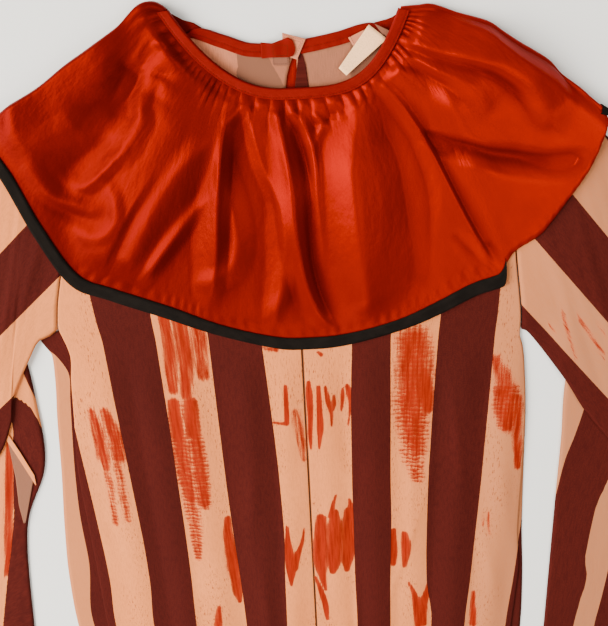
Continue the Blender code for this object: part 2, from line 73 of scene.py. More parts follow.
NECK_X = -1.0              # middle of the neck opening
NECK_HALF = 95.0           # half its width, inside the binding
NECK_SPREAD = 1.05         # how fast a line drawn outside the neck edge grows wider than it
NECK_DROP = 0.95           # and how fast the front one drops below it
NECK_TOP = 316.0           # where the neck meets the shoulder folds
FRONT_NECK = 245.0         # lowest point of the front neck edge
FRONT_BEND = (2.3, 4.3)    # how squarely the front neck edge turns up on its left and right sides
BACK_BEND = 3.2            # how squarely lines beside the back neck edge close in on its ends
BACK_NECK_LINE = [  # share of the half width, y of the back neck edge
    (-1.0, 316), (-0.965, 299), (-0.93, 290), (-0.83, 289.5), (-0.73, 293), (-0.5, 286.8), (-0.275, 280),
    (-0.07, 279), (0.158, 281.3), (0.42, 285.2), (0.72, 291), (0.89, 284), (0.94, 286), (0.97, 299),
    (1.0, 316),
]
NECK_ENDS = (-0.943, 0.946)    # shares of the half width where the neck edges meet the shoulder folds
BINDING = 10.5         # width of the neck binding's solid
TUCK = 2.6             # how far the panels' edges stay inside the binding's fold
HELD_FLAT = 10.4       # how far the neck binding holds the ruffle flat
TRIM_SHARE = 0.055     # share of the ruffle's depth that the black trim covers
CROTCH = -500.0        # where the legs part
HEM = -1020.0          # lower edge of the legs
SLIT_FOOT = 110.0      # lowest point of the opening in the back

# Outer edge of the ruffle's front half, from the left shoulder fold to the right one
RUFFLE_FRONT = [  # x, y
    (-264, 228), (-266, 205), (-255, 177), (-239, 125), (-216, 75), (-182, 58), (-127, 37),
    (-75, 15), (-26, 0), (6, -2), (45, 2), (96, 18), (134, 36), (166, 53), (192, 63),
    (206, 76), (222, 110), (236, 134), (254, 166), (263, 196), (264, 214),
]
# Outer edge of each back half, from its shoulder fold to the opening
RUFFLE_BACK_LEFT = [  # x, y
    (-264, 228), (-256, 196), (-236, 150), (-212, 95), (-178, 66), (-110, 50), (9.3, 42),
]
RUFFLE_BACK_RIGHT = [  # x, y
    (264, 214), (256, 188), (236, 145), (212, 95), (180, 66), (110, 50), (9.9, 42),
]
# How the ruffle's outer edge is shared out along the neck
GATHERING = [  # share of the outer edge, share of the neck seam
    (0.0, 0.0), (0.238, 0.213), (0.391, 0.3125), (0.514, 0.504), (0.777, 0.89), (1.0, 1.0),
]
# Side edges below the underarms, and the armhole seams above them
SIDES = [  # y, front left, back left, front right, back right
    (24, -240, -241, 211, 211), (13, -238.5, -263, 212, 212.2), (5, -237, -260, 213, 213.5),
    (-5, -236, -255.5, 216, 217),
    (-34, -241, -258.5, 221, 222), (-84, -248, -267, 227, 228), (-152, -258, -277, 231, 233),
    (-242, -262, -292, 235, 240), (-315, -265, -302, 243, 248), (-396, -269, -308, 243, 254),
    (-500, -272, -310, 248, 257), (-650, -268, -303, 250, 256), (-850, -262, -289, 246, 251),
    (-1020, -257, -276, 241, 245),
]
ARMHOLES = [  # y, left, right
    (12, -239.5, 211.8), (24, -240, 211), (48, -236, 207.5), (78, -227, 202), (110, -216, 197),
    (150, -207, 194), (205, -202, 193), (251, -200, 193),
]
# Outlines of the sleeves: the upper arm's edges below and above it, then the forearm's two edges, which
# start at the elbow fold
SLEEVE_LEFT = {
    "under": [(-241.4, 26), (-252, 18.3), (-264, 13), (-277, -6), (-294, -33), (-308, -59), (-319, -92),
              (-352, -140), (-450, -215)],
    "over": [(-201.4, 250), (-234, 227), (-270, 202)],
    "inner": [(-270, 202), (-281, 60), (-284, -60), (-294, -146), (-336, -239), (-366, -404),
              (-380, -500)],
    "outer": [(-450, -215), (-480, -330), (-500, -404), (-510, -500)],
    "side": -1,
}
SLEEVE_RIGHT = {
    "under": [(215.4, 14), (226, 6), (262, -42), (286, -80), (315, -117), (365, -172), (440, -250)],
    "over": [(194.4, 250), (238, 217), (285, 180)],
    "inner": [(285, 180), (268, 60), (263, -44), (268, -119), (272, -201), (283, -405), (288, -490)],
    "outer": [(440, -250), (437, -330), (431, -405), (425, -490)],
    "side": 1,
}
FOLDS_START = 20    # y below which the front panels' folds begin
FRONT_FOLDS = [  # x at the ruffle, x at the hem, half width, height
    (-205, -225, 22, 4.2), (-160, -176, 17, 2.4), (-118, -120, 20, 3.5), (-60, -70, 19, 2.9),
    (-14, -46, 14, 2.2), (18, 50, 15, 2.7), (66, 88, 20, 3.8), (118, 130, 17, 2.9),
    (160, 176, 19, 4.2), (206, 222, 17, 3.5),
]

# ---------------------------------------------------------------- looks

THIN_CLOTH = 0.5       # drawn thickness of the striped cloth
THIN_SATIN = 0.35      # and of the satin
STRIPE = 50.8          # width of one stripe of the cloth
LADDER_PITCH = 0.0052  # spacing in metres of the bands that a dry brush leaves across a stripe

# Edges of the stripes across the suit at several heights. Maroon lies between the first two, and
# the colours take turns after that. The centre seam starts a new stripe in the same cream.
STRIPE_EDGES_LEFT = [  # y, then x of each edge, outward from the centre seam
    (60, -43, -93, -146, -202), (0, -40, -93, -146, -200), (-80, -36, -93, -146, -199),
    (-160, -33, -93, -147, -199), (-240, -32, -92, -148, -199), (-320, -35, -90, -150, -201),
    (-392, -37, -89, -153, -207), (-500, -41, -91, -155, -210), (-1020, -60, -112, -164, -216),
]
STRIPE_EDGES_RIGHT = [  # y, then x of each edge, outward from the centre seam
    (60, 52, 88, 136, 189), (0, 50, 88, 134, 189), (-80, 48, 89, 132, 189),
    (-160, 48, 90, 131, 189), (-240, 49, 92, 132, 188), (-320, 50, 92, 135, 187),
    (-392, 52, 93, 144, 185), (-500, 53, 95, 145, 188), (-1020, 64, 112, 162, 212),
]

# The left back panel is cut with its stripes half a turn on; this is one edge of a cream stripe
BACK_EDGE_LEFT = [  # y, x
    (250, -243), (20, -264), (5, -261), (-7, -251), (-29, -243), (-59, -248), (-167, -264), (-226, -270),
    (-290, -273), (-396, -288), (-1020, -266),
]

# Outlines of the ruffle's shoulder folds, from the neck outward
SHOULDER_LEFT = [  # x, y
    (-93.1, 306.7), (-99, 311), (-106, 312), (-114, 309.5), (-121.5, 304), (-133, 294), (-154.5, 281),
    (-179, 268), (-207, 251), (-235.5, 237), (-263, 223),
]
SHOULDER_RIGHT = [  # x, y
    (91.4, 300.4), (97, 300.6), (105, 300.8), (113, 301.4), (122, 299.3), (137, 293.5), (157.5, 287),
    (170, 279), (183.5, 270.5), (208, 257), (220, 246), (236.5, 234), (250.5, 222.5), (264, 214),
]

# Folds of the ruffle's front half. Each one is a crest, or a trough where its height is negative. It
# starts with how its top is rounded. Each of its points gives the share of the outer edge from the left
# shoulder, the depth from the neck (0) to the edge (1), the height, and the half widths on its left and
# on its right.
ROUND, CRISP = 0.30, 0.08
RUFFLE_FOLDS = [
    (ROUND, (.062, .03, 4, 12, 8), (.054, .14, 6, 18, 7), (.050, .26, 7, 24, 8),
     (.058, .40, 5, 26, 12), (.060, .60, 3, 26, 16), (.050, .80, 1, 20, 20)),
    (ROUND, (.070, .10, -2, 5, 5), (.060, .20, -4, 5, 6), (.072, .295, -5, 7, 7),
     (.100, .33, -6, 9, 9), (.113, .41, -5, 12, 10), (.100, .52, -3, 16, 12), (.085, .60, 0, 16, 12)),
    (ROUND, (.085, .08, 2, 4, 4), (.070, .17, 4, 6, 6), (.078, .24, 4, 6, 5), (.095, .265, 1, 5, 4)),
    (CRISP, (.104, .04, 3, 3, 3), (.095, .11, 3, 4, 4), (.088, .155, 0, 4, 4)),
    (ROUND, (.115, .22, 1, 5, 5), (.125, .29, 3, 6, 6), (.150, .35, 4, 6, 6), (.172, .38, 4, 6, 7),
     (.175, .48, 4, 7, 8), (.168, .54, 2, 8, 8)),
    (CRISP, (.180, .49, 1, 5, 4), (.171, .56, 4, 6, 5), (.163, .64, 5, 7, 6), (.153, .705, 4, 7, 6),
     (.135, .75, 1, 8, 6)),
    (ROUND, (.128, .45, 1, 8, 6), (.112, .50, 3, 9, 6), (.085, .60, 3, 9, 7), (.065, .72, 2, 9, 8),
     (.055, .80, 0, 9, 8)),
    (ROUND, (.150, .52, -1, 6, 6), (.135, .56, -3, 7, 6), (.122, .66, -2.5, 8, 7),
     (.118, .76, 0, 8, 7)),
    (ROUND, (.185, .62, 1, 5, 5), (.210, .63, 2, 5, 5), (.224, .69, 2.5, 5, 5), (.216, .76, 2, 5, 5),
     (.190, .82, 1, 7, 6)),
    (ROUND, (.210, .70, -1.5, 8, 8), (.185, .76, -2.5, 8, 8), (.160, .81, -2, 7, 7),
     (.130, .86, -1, 6, 6)),
    (ROUND, (.180, .735, 2, 7, 6), (.155, .78, 4, 8, 6), (.125, .835, 4, 8, 6), (.080, .87, 2, 8, 6)),
    (ROUND, (.120, .03, 3, 6, 5), (.118, .10, 5, 9, 7), (.122, .17, 4, 9, 7), (.130, .23, 1, 8, 6)),
    (ROUND, (.162, .03, 3, 7, 6), (.156, .09, 6, 10, 9), (.159, .15, 7, 12, 12),
     (.170, .21, 5, 12, 12), (.180, .27, 1, 12, 10)),
    (ROUND, (.242, .03, 6, 10, 8), (.256, .10, 10, 14, 14), (.262, .17, 13, 18, 26),
     (.250, .26, 13, 26, 30), (.245, .38, 13, 34, 26), (.243, .50, 12, 36, 12), (.237, .62, 10, 34, 6),
     (.234, .76, 8, 30, 6), (.232, .93, 6, 18, 6)),
    (ROUND, (.380, .15, 3, 8, 8), (.352, .26, 9, 11, 12), (.326, .35, 13, 12, 14),
     (.298, .45, 14, 13, 15), (.280, .56, 13, 16, 16), (.273, .68, 11, 18, 12), (.268, .80, 8, 16, 10),
     (.262, .92, 4, 12, 8)),
    (CRISP, (.398, .43, 2, 6, 6), (.372, .49, 4, 9, 7), (.345, .57, 6, 12, 7), (.325, .66, 8, 14, 6),
     (.307, .76, 8, 12, 6), (.292, .88, 5, 9, 6)),
    (CRISP, (.385, .03, 5, 8, 6), (.392, .08, 8, 10, 6), (.396, .16, 11, 12, 7),
     (.3975, .30, 12, 14, 7), (.398, .45, 12, 16, 7), (.398, .60, 10, 16, 7), (.396, .72, 7, 14, 7),
     (.390, .82, 4, 12, 8), (.385, .92, 2, 10, 8)),
    (ROUND, (.402, .31, 1, 4, 5), (.410, .37, 3, 5, 7), (.419, .44, 5, 6, 8), (.427, .53, 6, 7, 9),
     (.429, .61, 6, 7, 9), (.422, .69, 5, 7, 9), (.408, .745, 4, 7, 8), (.385, .785, 2, 7, 8),
     (.360, .82, 0, 7, 8)),
    (CRISP, (.430, .06, 3, 4, 4), (.420, .115, 4, 4, 4), (.405, .165, 2, 4, 5), (.402, .19, 0, 4, 4)),
    (CRISP, (.437, .05, 3, 5, 5), (.445, .13, 5, 5, 8), (.455, .20, 6, 6, 10), (.466, .28, 5, 7, 10),
     (.480, .36, 5, 7, 9), (.491, .43, 6, 9, 8), (.4955, .52, 7, 12, 8), (.495, .62, 7, 12, 8),
     (.490, .74, 6, 12, 7), (.482, .82, 5, 10, 6), (.475, .90, 3, 8, 6)),
    (CRISP, (.484, .03, 5, 6, 6), (.490, .10, 9, 10, 6), (.497, .18, 11, 12, 7),
     (.504, .27, 13, 12, 9), (.509, .38, 14, 12, 14), (.513, .50, 14, 12, 10), (.518, .62, 13, 12, 7),
     (.525, .72, 12, 12, 6), (.538, .82, 9, 12, 5), (.555, .91, 6, 10, 5)),
    (CRISP, (.503, .03, 3, 4, 4), (.517, .08, 5, 5, 5), (.532, .12, 6, 6, 5), (.543, .19, 8, 6, 5),
     (.5475, .28, 9, 6, 6), (.547, .40, 8, 8, 7), (.548, .52, 6, 10, 8), (.548, .62, 4, 10, 8),
     (.545, .70, 1, 10, 8)),
    (CRISP, (.552, .085, 2, 3, 4), (.560, .115, 4, 4, 4), (.566, .145, 4, 4, 4), (.558, .175, 4, 4, 4),
     (.551, .21, 2, 4, 4)),
    (CRISP, (.615, .03, 4, 10, 8), (.634, .09, 8, 16, 10), (.626, .16, 11, 20, 14),
     (.611, .24, 14, 24, 24), (.602, .34, 18, 28, 30), (.601, .50, 20, 30, 32),
     (.602, .66, 19, 30, 34), (.603, .80, 15, 28, 30), (.600, .93, 7, 20, 24)),
    (CRISP, (.683, .03, 3, 6, 4), (.690, .08, 4, 6, 4), (.700, .16, 5, 6, 4), (.713, .27, 6, 7, 3.5),
     (.728, .38, 6, 8, 3), (.743, .52, 6, 12, 2.5), (.755, .65, 6, 20, 2.5), (.765, .77, 6, 26, 2.5),
     (.773, .88, 5, 24, 2.5), (.776, .96, 3, 16, 3)),
    (ROUND, (.668, .16, -1, 8, 8), (.676, .28, -3, 12, 10), (.684, .40, -4, 14, 12),
     (.690, .55, -5, 16, 12), (.684, .68, -4, 18, 10), (.682, .80, -3, 18, 8), (.680, .92, -1, 14, 8)),
    (ROUND, (.715, .03, 3, 6, 6), (.728, .08, 5, 8, 6), (.745, .13, 5, 10, 6), (.760, .19, 2, 10, 6)),
    (ROUND, (.735, .10, 3, 8, 6), (.752, .20, 6, 12, 10), (.778, .29, 7, 14, 12),
     (.812, .37, 7, 16, 14), (.845, .44, 6, 18, 16), (.870, .52, 3, 18, 16)),
    (CRISP, (.762, .06, 4, 4, 6), (.785, .12, 7, 4, 8), (.812, .18, 9, 4, 10),
     (.842, .26, 9.5, 4.5, 12), (.868, .335, 9, 5, 13), (.884, .40, 8, 6, 14), (.888, .46, 5, 6, 14),
     (.880, .52, 1, 6, 10)),
    (CRISP, (.800, .03, 5, 4, 6), (.830, .09, 9, 4, 10), (.862, .17, 13, 4.5, 14),
     (.895, .26, 15, 5, 18), (.922, .35, 16, 5, 20), (.943, .44, 16, 5, 20), (.951, .53, 14, 5, 20),
     (.950, .60, 10, 6, 18), (.944, .67, 4, 8, 14)),
    (ROUND, (.870, .04, 3, 5, 5), (.900, .10, 5, 6, 6), (.930, .16, 5, 7, 6), (.955, .22, 3, 8, 7)),
    (ROUND, (.733, .38, -2, 5, 3), (.765, .44, -7, 7, 3.5), (.800, .50, -10, 9, 4),
     (.840, .58, -11, 9, 4), (.875, .66, -10, 9, 4), (.905, .75, -8, 9, 4), (.930, .83, -6, 9, 5),
     (.945, .91, -2, 8, 5)),
    (ROUND, (.742, .76, -2, 6, 6), (.755, .83, -4, 8, 7), (.762, .89, -3, 6, 6)),
    (ROUND, (.782, .84, -2, 5, 5), (.785, .90, -3, 5, 5)),
]
GATHERS = 37           # small gathers along the front neck seam

# Paint brushed on the cream stripes of the front: how broken up each smear is, how far it breaks into
# bands across the stripe, how strongly it covers, then x, y and half width along the stroke
PAINT = [
    (0.10, 0.0, 1.00, (-19, -45, 1.6), (-19, -60, 2.3), (-20, -92, 2.5)),
    (0.25, 0.0, 1.00, (-35, -91, 1.1), (-27, -92, 1.7), (-21, -92, 1.9)),
    (0.10, 0.0, 1.00, (5, -42, 2.0), (5, -58, 3.3), (5, -83, 2.8), (4, -112, 1.9), (4, -127, 0.8)),
    (0.15, 0.0, 1.00, (15, -47, 2.0), (15, -64, 2.7), (15, -96, 3.4), (14, -112, 2.1), (13, -125, 0.9)),
    (0.25, 0.0, 1.00, (22, -47, 1.5), (24, -64, 2.3), (27, -79, 1.7), (27, -95, 0.8)),
    (0.30, 0.0, 1.00, (30, -58, 1.2), (30, -68, 2.1), (29, -76, 1.0)),
    (0.25, 0.0, 1.00, (39, -51, 1.6), (39, -64, 2.3), (37, -78, 0.8)),
    (0.25, 0.0, 1.00, (44, -47, 2.4), (47, -56, 3.3), (47, -74, 1.4), (44, -97, 0.6)),
    (0.20, 0.0, 1.00, (16, -7, 1.4), (19, -10, 2.0)),
    (0.80, 0.6, 1.00, (-38, -1, 2.0), (-26, -3, 3.0)),
    (1.00, 0.0, 0.50, (-10, -78, 5.2), (-6, -109, 6.4), (-4, -141, 3.3)),
    (0.12, 0.0, 1.00, (-28, -236, 1.4), (-28, -262, 3.7), (-27, -289, 6.2), (-27, -309, 5.0),
     (-28, -332, 1.0)),
    (0.12, 0.0, 1.00, (-8, -239, 0.8), (-12, -262, 1.9), (-19, -283, 4.0), (-24, -302, 5.4)),
    (0.22, 0.0, 1.00, (12, -224, 5.7), (10, -262, 8.7), (9, -289, 8.3), (10, -316, 4.8), (14, -340, 1.5)),
    (0.22, 0.0, 1.00, (27, -215, 5.1), (27, -255, 10.4), (25, -286, 9.4), (23, -308, 3.6)),
    (0.22, 0.0, 1.00, (44, -215, 6.2), (43, -247, 8.6), (41, -278, 8.2), (40, -306, 3.0)),
    (0.15, 0.0, 1.00, (29, -189, 0.9), (26, -203, 2.0), (23, -221, 3.4)),
    (0.20, 0.0, 1.00, (44, -196, 1.1), (46, -209, 3.4), (45, -224, 5.7)),
    (0.20, 0.0, 1.00, (2, -319, 1.4), (7, -339, 2.9), (12, -364, 3.7), (14, -392, 2.0)),
    (0.75, 0.5, 1.00, (110, 4, 16.5), (112, -30, 17.9), (113, -63, 18.3)),
    (0.40, 0.3, 1.00, (121, -30, 5.9), (124, -54, 8.1), (126, -76, 6.1)),
    (0.85, 1.0, 1.00, (109, -63, 16.2), (112, -101, 14.6), (117, -129, 9.5)),
    (1.00, 1.0, 0.50, (112, -129, 13.8), (119, -165, 8.7)),
    (0.15, 0.0, 1.00, (94, -243, 2.8), (94, -274, 5.2), (95, -297, 3.1)),
    (0.35, 0.0, 1.00, (107, -248, 3.4), (109, -268, 5.8), (108, -300, 2.3)),
    (0.25, 0.0, 1.00, (113, -325, 1.2), (119, -340, 2.6), (124, -361, 5.1), (128, -400, 5.0)),
    (0.25, 0.0, 1.00, (137, -327, 1.4), (136, -343, 3.8), (132, -364, 5.6), (134, -400, 3.7)),
    (0.95, 0.1, 0.75, (192, -20, 6.8), (202, -44, 8.9), (207, -63, 9.0)),
    (0.75, 0.6, 1.00, (204, -56, 12.0), (207, -75, 13.1), (210, -97, 9.2)),
    (0.85, 0.1, 0.90, (216, -65, 6.0), (220, -103, 6.2), (226, -153, 4.2)),
    (0.60, 0.0, 0.90, (194, -216, 1.0), (195, -236, 1.3)),
    (0.60, 0.0, 0.90, (199, -216, 1.1), (201, -232, 1.6), (203, -250, 0.9)),
    (0.50, 0.1, 0.90, (192, -344, 2.4), (195, -400, 4.9)),
    (0.90, 0.2, 1.00, (-226, -71, 3.7), (-224, -97, 6.5), (-224, -128, 7.7), (-223, -148, 4.5)),
    (0.90, 0.3, 1.00, (-212, -71, 5.3), (-206, -102, 8.7), (-206, -132, 7.7)),
    (1.00, 0.6, 0.45, (-223, -154, 5.6), (-227, -229, 4.1)),
    (1.00, 0.6, 0.35, (-209, -143, 6.7), (-211, -221, 5.8)),
    (0.75, 0.0, 1.00, (-133, 42, 5.9), (-133, 2, 6.5), (-136, -48, 5.2)),
    (0.60, 0.0, 1.00, (-118, 41, 5.9), (-118, 1, 8.0), (-122, -54, 5.7)),
    (0.95, 0.0, 0.80, (-103, 29, 7.9), (-102, 1, 8.5), (-102, -32, 6.1)),
    (0.30, 0.5, 1.00, (-137, -64, 6.5), (-138, -85, 7.2), (-138, -110, 7.6)),
    (0.35, 0.5, 1.00, (-119, -63, 7.3), (-120, -83, 8.0), (-120, -104, 7.5)),
    (0.70, 1.0, 1.00, (-137, -110, 8.7), (-137, -150, 9.4), (-135, -192, 8.0)),
    (0.70, 1.0, 1.00, (-119, -107, 7.5), (-119, -150, 8.3), (-119, -200, 6.8)),
    (0.95, 1.0, 0.60, (-135, -192, 10.2), (-135, -245, 8.2), (-137, -285, 4.8)),
    (0.35, 0.0, 1.00, (-96, -223, 3.5), (-98, -253, 5.9), (-96, -294, 7.8), (-95, -336, 6.1),
     (-94, -360, 2.5)),
    (0.50, 0.2, 0.90, (-120, -367, 3.1), (-125, -400, 5.7)),
]
PAINT_ON_SLEEVE_LEFT = [
    (0.55, 0.0, 1.00, (-326, -109, 2.8), (-335, -149, 5.1), (-348, -200, 5.3), (-362, -254, 4.9),
     (-380, -314, 2.5)),
]
PAINT_ON_SLEEVE_RIGHT = [
    (0.95, 0.0, 0.55, (239, 18, 1.2), (249, 6, 1.2)),
    (1.00, 0.0, 0.60, (248, 34, 1.5), (257, 9, 1.8), (268, -19, 1.2)),
    (1.00, 0.0, 0.60, (264, 27, 1.5), (280, 5, 2.3), (297, -20, 1.6)),
    (1.00, 0.2, 0.50, (275, 24, 1.6), (290, 11, 1.9)),
]


# ---------------------------------------------------------------- small helpers

def ease(t):
    """0 below 0, 1 above 1, smooth between."""
    t = np.clip(t, 0.0, 1.0)
    return t * t * (3 - 2 * t)


def through(x, table, column=1):
    """A smooth monotone curve through two columns of a table, read at x."""
    rows = sorted(table)
    xs = np.array([row[0] for row in rows], float)
    ys = np.array([row[column] for row in rows], float)
    step = np.diff(xs)
    slope = np.diff(ys) / step
    turn = np.zeros_like(ys)
    same = slope[:-1] * slope[1:] > 0
    turn[1:-1][same] = 2 * slope[:-1][same] * slope[1:][same] / (slope[:-1] + slope[1:])[same]
    turn[0], turn[-1] = slope[0], slope[-1]
    x = np.clip(x, xs[0], xs[-1])
    i = np.clip(np.searchsorted(xs, x) - 1, 0, len(step) - 1)
    t = (x - xs[i]) / step[i]
    return (ys[i] * (1 + 2 * t) * (1 - t) ** 2 + step[i] * turn[i] * t * (1 - t) ** 2
            + ys[i + 1] * t * t * (3 - 2 * t) + step[i] * turn[i + 1] * t * t * (t - 1))


def curve(points, steps=24):
    """A smooth polyline through the given points."""
    p = np.array(points, float)
    p = np.vstack([2 * p[0] - p[1], p, 2 * p[-1] - p[-2]])
    out = []
    for a, b, c, d in zip(p, p[1:], p[2:], p[3:]):
        for t in np.linspace(0, 1, steps, endpoint=False):
            out.append(0.5 * (2 * b + (c - a) * t + (2 * a - 5 * b + 4 * c - d) * t * t
                              + (3 * b - a - 3 * c + d) * t ** 3))
    out.append(p[-2])
    return np.array(out)


def along(line, shares):
    """Points at shares of a polyline's length."""
    length = np.r_[0, np.cumsum(np.hypot(*np.diff(line, axis=0).T))]
    length /= length[-1]
    return np.stack([np.interp(shares, length, line[:, 0]), np.interp(shares, length, line[:, 1])], -1)


def beside(points, line):
    """Distance of each point from a polyline, its nearest stretch, and the share along that stretch."""
    start, run = line[:-1], np.diff(line, axis=0)
    to = points[:, None, :] - start[None]
    share = np.clip((to * run[None]).sum(axis=2) / np.maximum((run ** 2).sum(axis=1), 1e-9), 0, 1)
    gap = np.linalg.norm(to - share[..., None] * run[None], axis=2)
    nearest = gap.argmin(axis=1)
    pick = (np.arange(len(points)), nearest)
    return gap[pick], nearest, share[pick]


def normals(grid):
    """Unit normals of a grid of points."""
    n = np.cross(np.gradient(grid, axis=1), np.gradient(grid, axis=0))
    return n / np.linalg.norm(n, axis=-1, keepdims=True)


def wander(x, seed, waves=5, longest=1.0):
    """A smooth uneven curve between about -1 and 1, the same for the same seed."""
    rng = np.random.default_rng(seed)
    total = 0 * np.asarray(x, float)
    for k in range(1, waves + 1):
        total = total + np.sin(2 * math.pi * (np.asarray(x) * k * rng.uniform(0.8, 1.25) / longest
                                              + rng.uniform())) / k ** 0.6
    return total / sum(1 / k ** 0.6 for k in range(1, waves + 1)) * 1.6


def place(point):
    """Millimetres in the suit's own frame to metres in the world."""
    x, y, z = point
    return Vector(((x - SUIT_CENTRE[0]) / 1000, (y - SUIT_CENTRE[1]) / 1000, z / 1000))


def world(points):
    """place() for a whole array of points."""
    return (np.asarray(points, float) - (*SUIT_CENTRE, 0.0)) / 1000


# ---------------------------------------------------------------- heights shared with the solids

def front_neck(s, w):
    """Front neck edge: s runs from -1 to 1 across it, w is the distance out from the inside."""
    s = np.asarray(s, float)
    x = NECK_X + (NECK_HALF + NECK_SPREAD * w) * s
    low = FRONT_NECK - NECK_DROP * w
    bend = np.where(s < 0, *FRONT_BEND)
    return np.stack([x, low + (NECK_TOP - low) * np.abs(s) ** bend], -1)


def back_neck(s, w):
    """Back neck edge, in the same terms."""
    s = np.asarray(s, float)
    x = NECK_X + (NECK_HALF + NECK_SPREAD * w) * s
    edge = through(s, BACK_NECK_LINE)
    return np.stack([x, edge - w * (1 - np.abs(s) ** BACK_BEND)], -1)


def neck_clearance(x, y):
    """About how far a point lies outside the front neck seam."""
    s = np.clip((x - NECK_X) / NECK_HALF, -1, 1)
    bend = np.where(s < 0, *FRONT_BEND)
    edge = FRONT_NECK + (NECK_TOP - FRONT_NECK) * np.abs(s) ** bend
    steep = (NECK_TOP - FRONT_NECK) * bend * np.abs(s) ** (bend - 1) / NECK_HALF
    sideways = np.maximum(np.abs(x - NECK_X) - NECK_HALF, 0)
    return np.hypot(np.maximum(edge - y, 0) / np.hypot(1, steep), sideways)


def back_floor(x, y):
    """Underside of the back panels: on the floor, or over the ruffle's back half."""
    return BACK_RISE * ease((y - 6) / 30)


def sleeve_floor(x, y):
    """Underside of an upper arm: over the ruffle and over its own forearm."""
    over_ruffle = back_floor(x, y) / FOREARM_RISE
    over_forearm = ease((np.abs(x) - 233) / 28)
    return FOREARM_RISE * (1 - (1 - over_ruffle) * (1 - over_forearm))


def binding_floor(x):
    """Underside of the front neck binding, which lies over the back one near the shoulders."""
    return BACK_RISE + CLOTH + 0.4 + BINDING_RISE * ease((np.abs(x - NECK_X) - 48) / 22)


def front_folds(x, y):
    """Soft folds of the front panels, which start below the ruffle."""
    down = np.clip((FOLDS_START - y) / 1000, 0, 1)
    height = 0 * x
    for x_top, x_hem, half, tall in FRONT_FOLDS:
        height = np.maximum(height, tall * np.exp(-((x - x_top - (x_hem - x_top) * down) / half) ** 2))
    return height * ease((FOLDS_START - y) / 90)


def front_floor(x, y):
    """Underside of the front panels."""
    flat = back_floor(x, y) + CLOTH + LAYER
    lift = binding_floor(x) + TAPE + SEAM - (BACK_RISE + CLOTH + LAYER)
    return flat + lift * (1 - ease((neck_clearance(x, y) - 12) / 26)) + front_folds(x, y)


def ruffle_floor(x, y):
    """Underside of the ruffle's front half, before its own folds."""
    over_sleeve = SLEEVE_RISE * ease((np.abs(x) - 196) / 46)
    rise = sleeve_floor(x, y) - back_floor(x, y)
    over_underarm = ARMHOLE_RISE * np.exp(-((y - 30) / 24) ** 2)
    above = front_floor(x, y) + CLOTH + RUFFLE_CLEARANCE + over_underarm
    return above + rise * ease((np.abs(x) - 205) / 30) + over_sleeve


# ---------------------------------------------------------------- shader nodes

def add(tree, kind, settings=None, inputs=None):
    """One shader node. Inputs are numbers, colours or the outputs of other nodes."""
    node = tree.nodes.new("ShaderNode" + kind)
    for key, value in (settings or {}).items():
        setattr(node, key, value)
    for key, value in (inputs or {}).items():
        if isinstance(value, bpy.types.NodeSocket):
            tree.links.new(value, node.inputs[key])
        else:
            node.inputs[key].default_value = value
    return node


def calc(tree, operation, a, b=0.0, c=0.0):
    """One step of arithmetic on values."""
    return add(tree, "Math", {"operation": operation}, {0: a, 1: b, 2: c}).outputs[0]


def times(tree, a, b):
    """One value times another."""
    return calc(tree, "MULTIPLY", a, b)


def scaled(tree, value, by, start):
    """The value times an amount, added to a start."""
    return calc(tree, "MULTIPLY_ADD", value, by, start)


def mixed_value(tree, share, a, b):
    """Value a turning into value b."""
    return add(tree, "Mix", {"data_type": "FLOAT"}, {0: share, 2: a, 3: b}).outputs[0]


def mixed(tree, share, a, b):
    """Colour a turning into colour b."""
    node = add(tree, "Mix", {"data_type": "RGBA"}, {"Factor": share})
    for key, value in ((6, a), (7, b)):
        if isinstance(value, bpy.types.NodeSocket):
            tree.links.new(value, node.inputs[key])
        else:
            node.inputs[key].default_value = (*value, 1)
    return node.outputs[2]


def cloth_map(tree):
    """The piece's own map, in metres of cloth."""
    return add(tree, "UVMap", {"uv_map": "cloth"}).outputs[0]


def split(tree, vector):
    """A vector's three parts."""
    return add(tree, "SeparateXYZ", None, {0: vector}).outputs


def on_object(tree):
    """Coordinates on the object, in metres."""
    return add(tree, "TexCoord").outputs["Object"]


def marked(tree, name):
    """A value stored on the piece's points; 0 on pieces without it."""
    return add(tree, "Attribute", {"attribute_name": name}).outputs["Fac"]


def noise(tree, vector, scale, detail=3.0, rough=0.5):
    """Even noise from 0 to 1 at a place; a larger scale makes finer noise."""
    inputs = {"Vector": vector, "Scale": scale, "Detail": detail, "Roughness": rough}
    return add(tree, "TexNoise", None, inputs).outputs["Fac"]


def uneven(tree, cloth, across, down, detail, rough=0.5):
    """Noise with its own scale across the cloth and down it."""
    vector = add(tree, "Mapping", None, {"Vector": cloth, "Scale": (across, down, 1.0)}).outputs[0]
    return noise(tree, vector, 1.0, detail, rough)


def between(tree, value, low, high):
    """0 at low, 1 at high, smooth between."""
    inputs = {"Value": value, "From Min": low, "From Max": high}
    return add(tree, "MapRange", {"interpolation_type": "SMOOTHSTEP"}, inputs).outputs[0]


def weave(tree, cloth, pitch, depth):
    """Height of a plain weave with threads of the given pitch in millimetres."""
    turns = 2 * math.pi * 1000 / pitch
    parts = split(tree, cloth)
    warp = calc(tree, "SINE", times(tree, parts[0], turns))
    weft = calc(tree, "SINE", times(tree, parts[1], turns))
    return times(tree, times(tree, warp, weft), depth)


def new_material(name, colour, rough, **fixed):
    """A material with its Principled shader. Fixed values go on the shader's own sockets."""
    made = bpy.data.materials.new(name)
    made.use_nodes = True
    shader = made.node_tree.nodes["Principled BSDF"]
    shader.inputs["Base Color"].default_value = (*colour, 1)
    shader.inputs["Roughness"].default_value = rough
    for key, value in fixed.items():
        shader.inputs[key.replace("_", " ")].default_value = value
    made.diffuse_color = (*colour, 1)
    return made, made.node_tree, shader


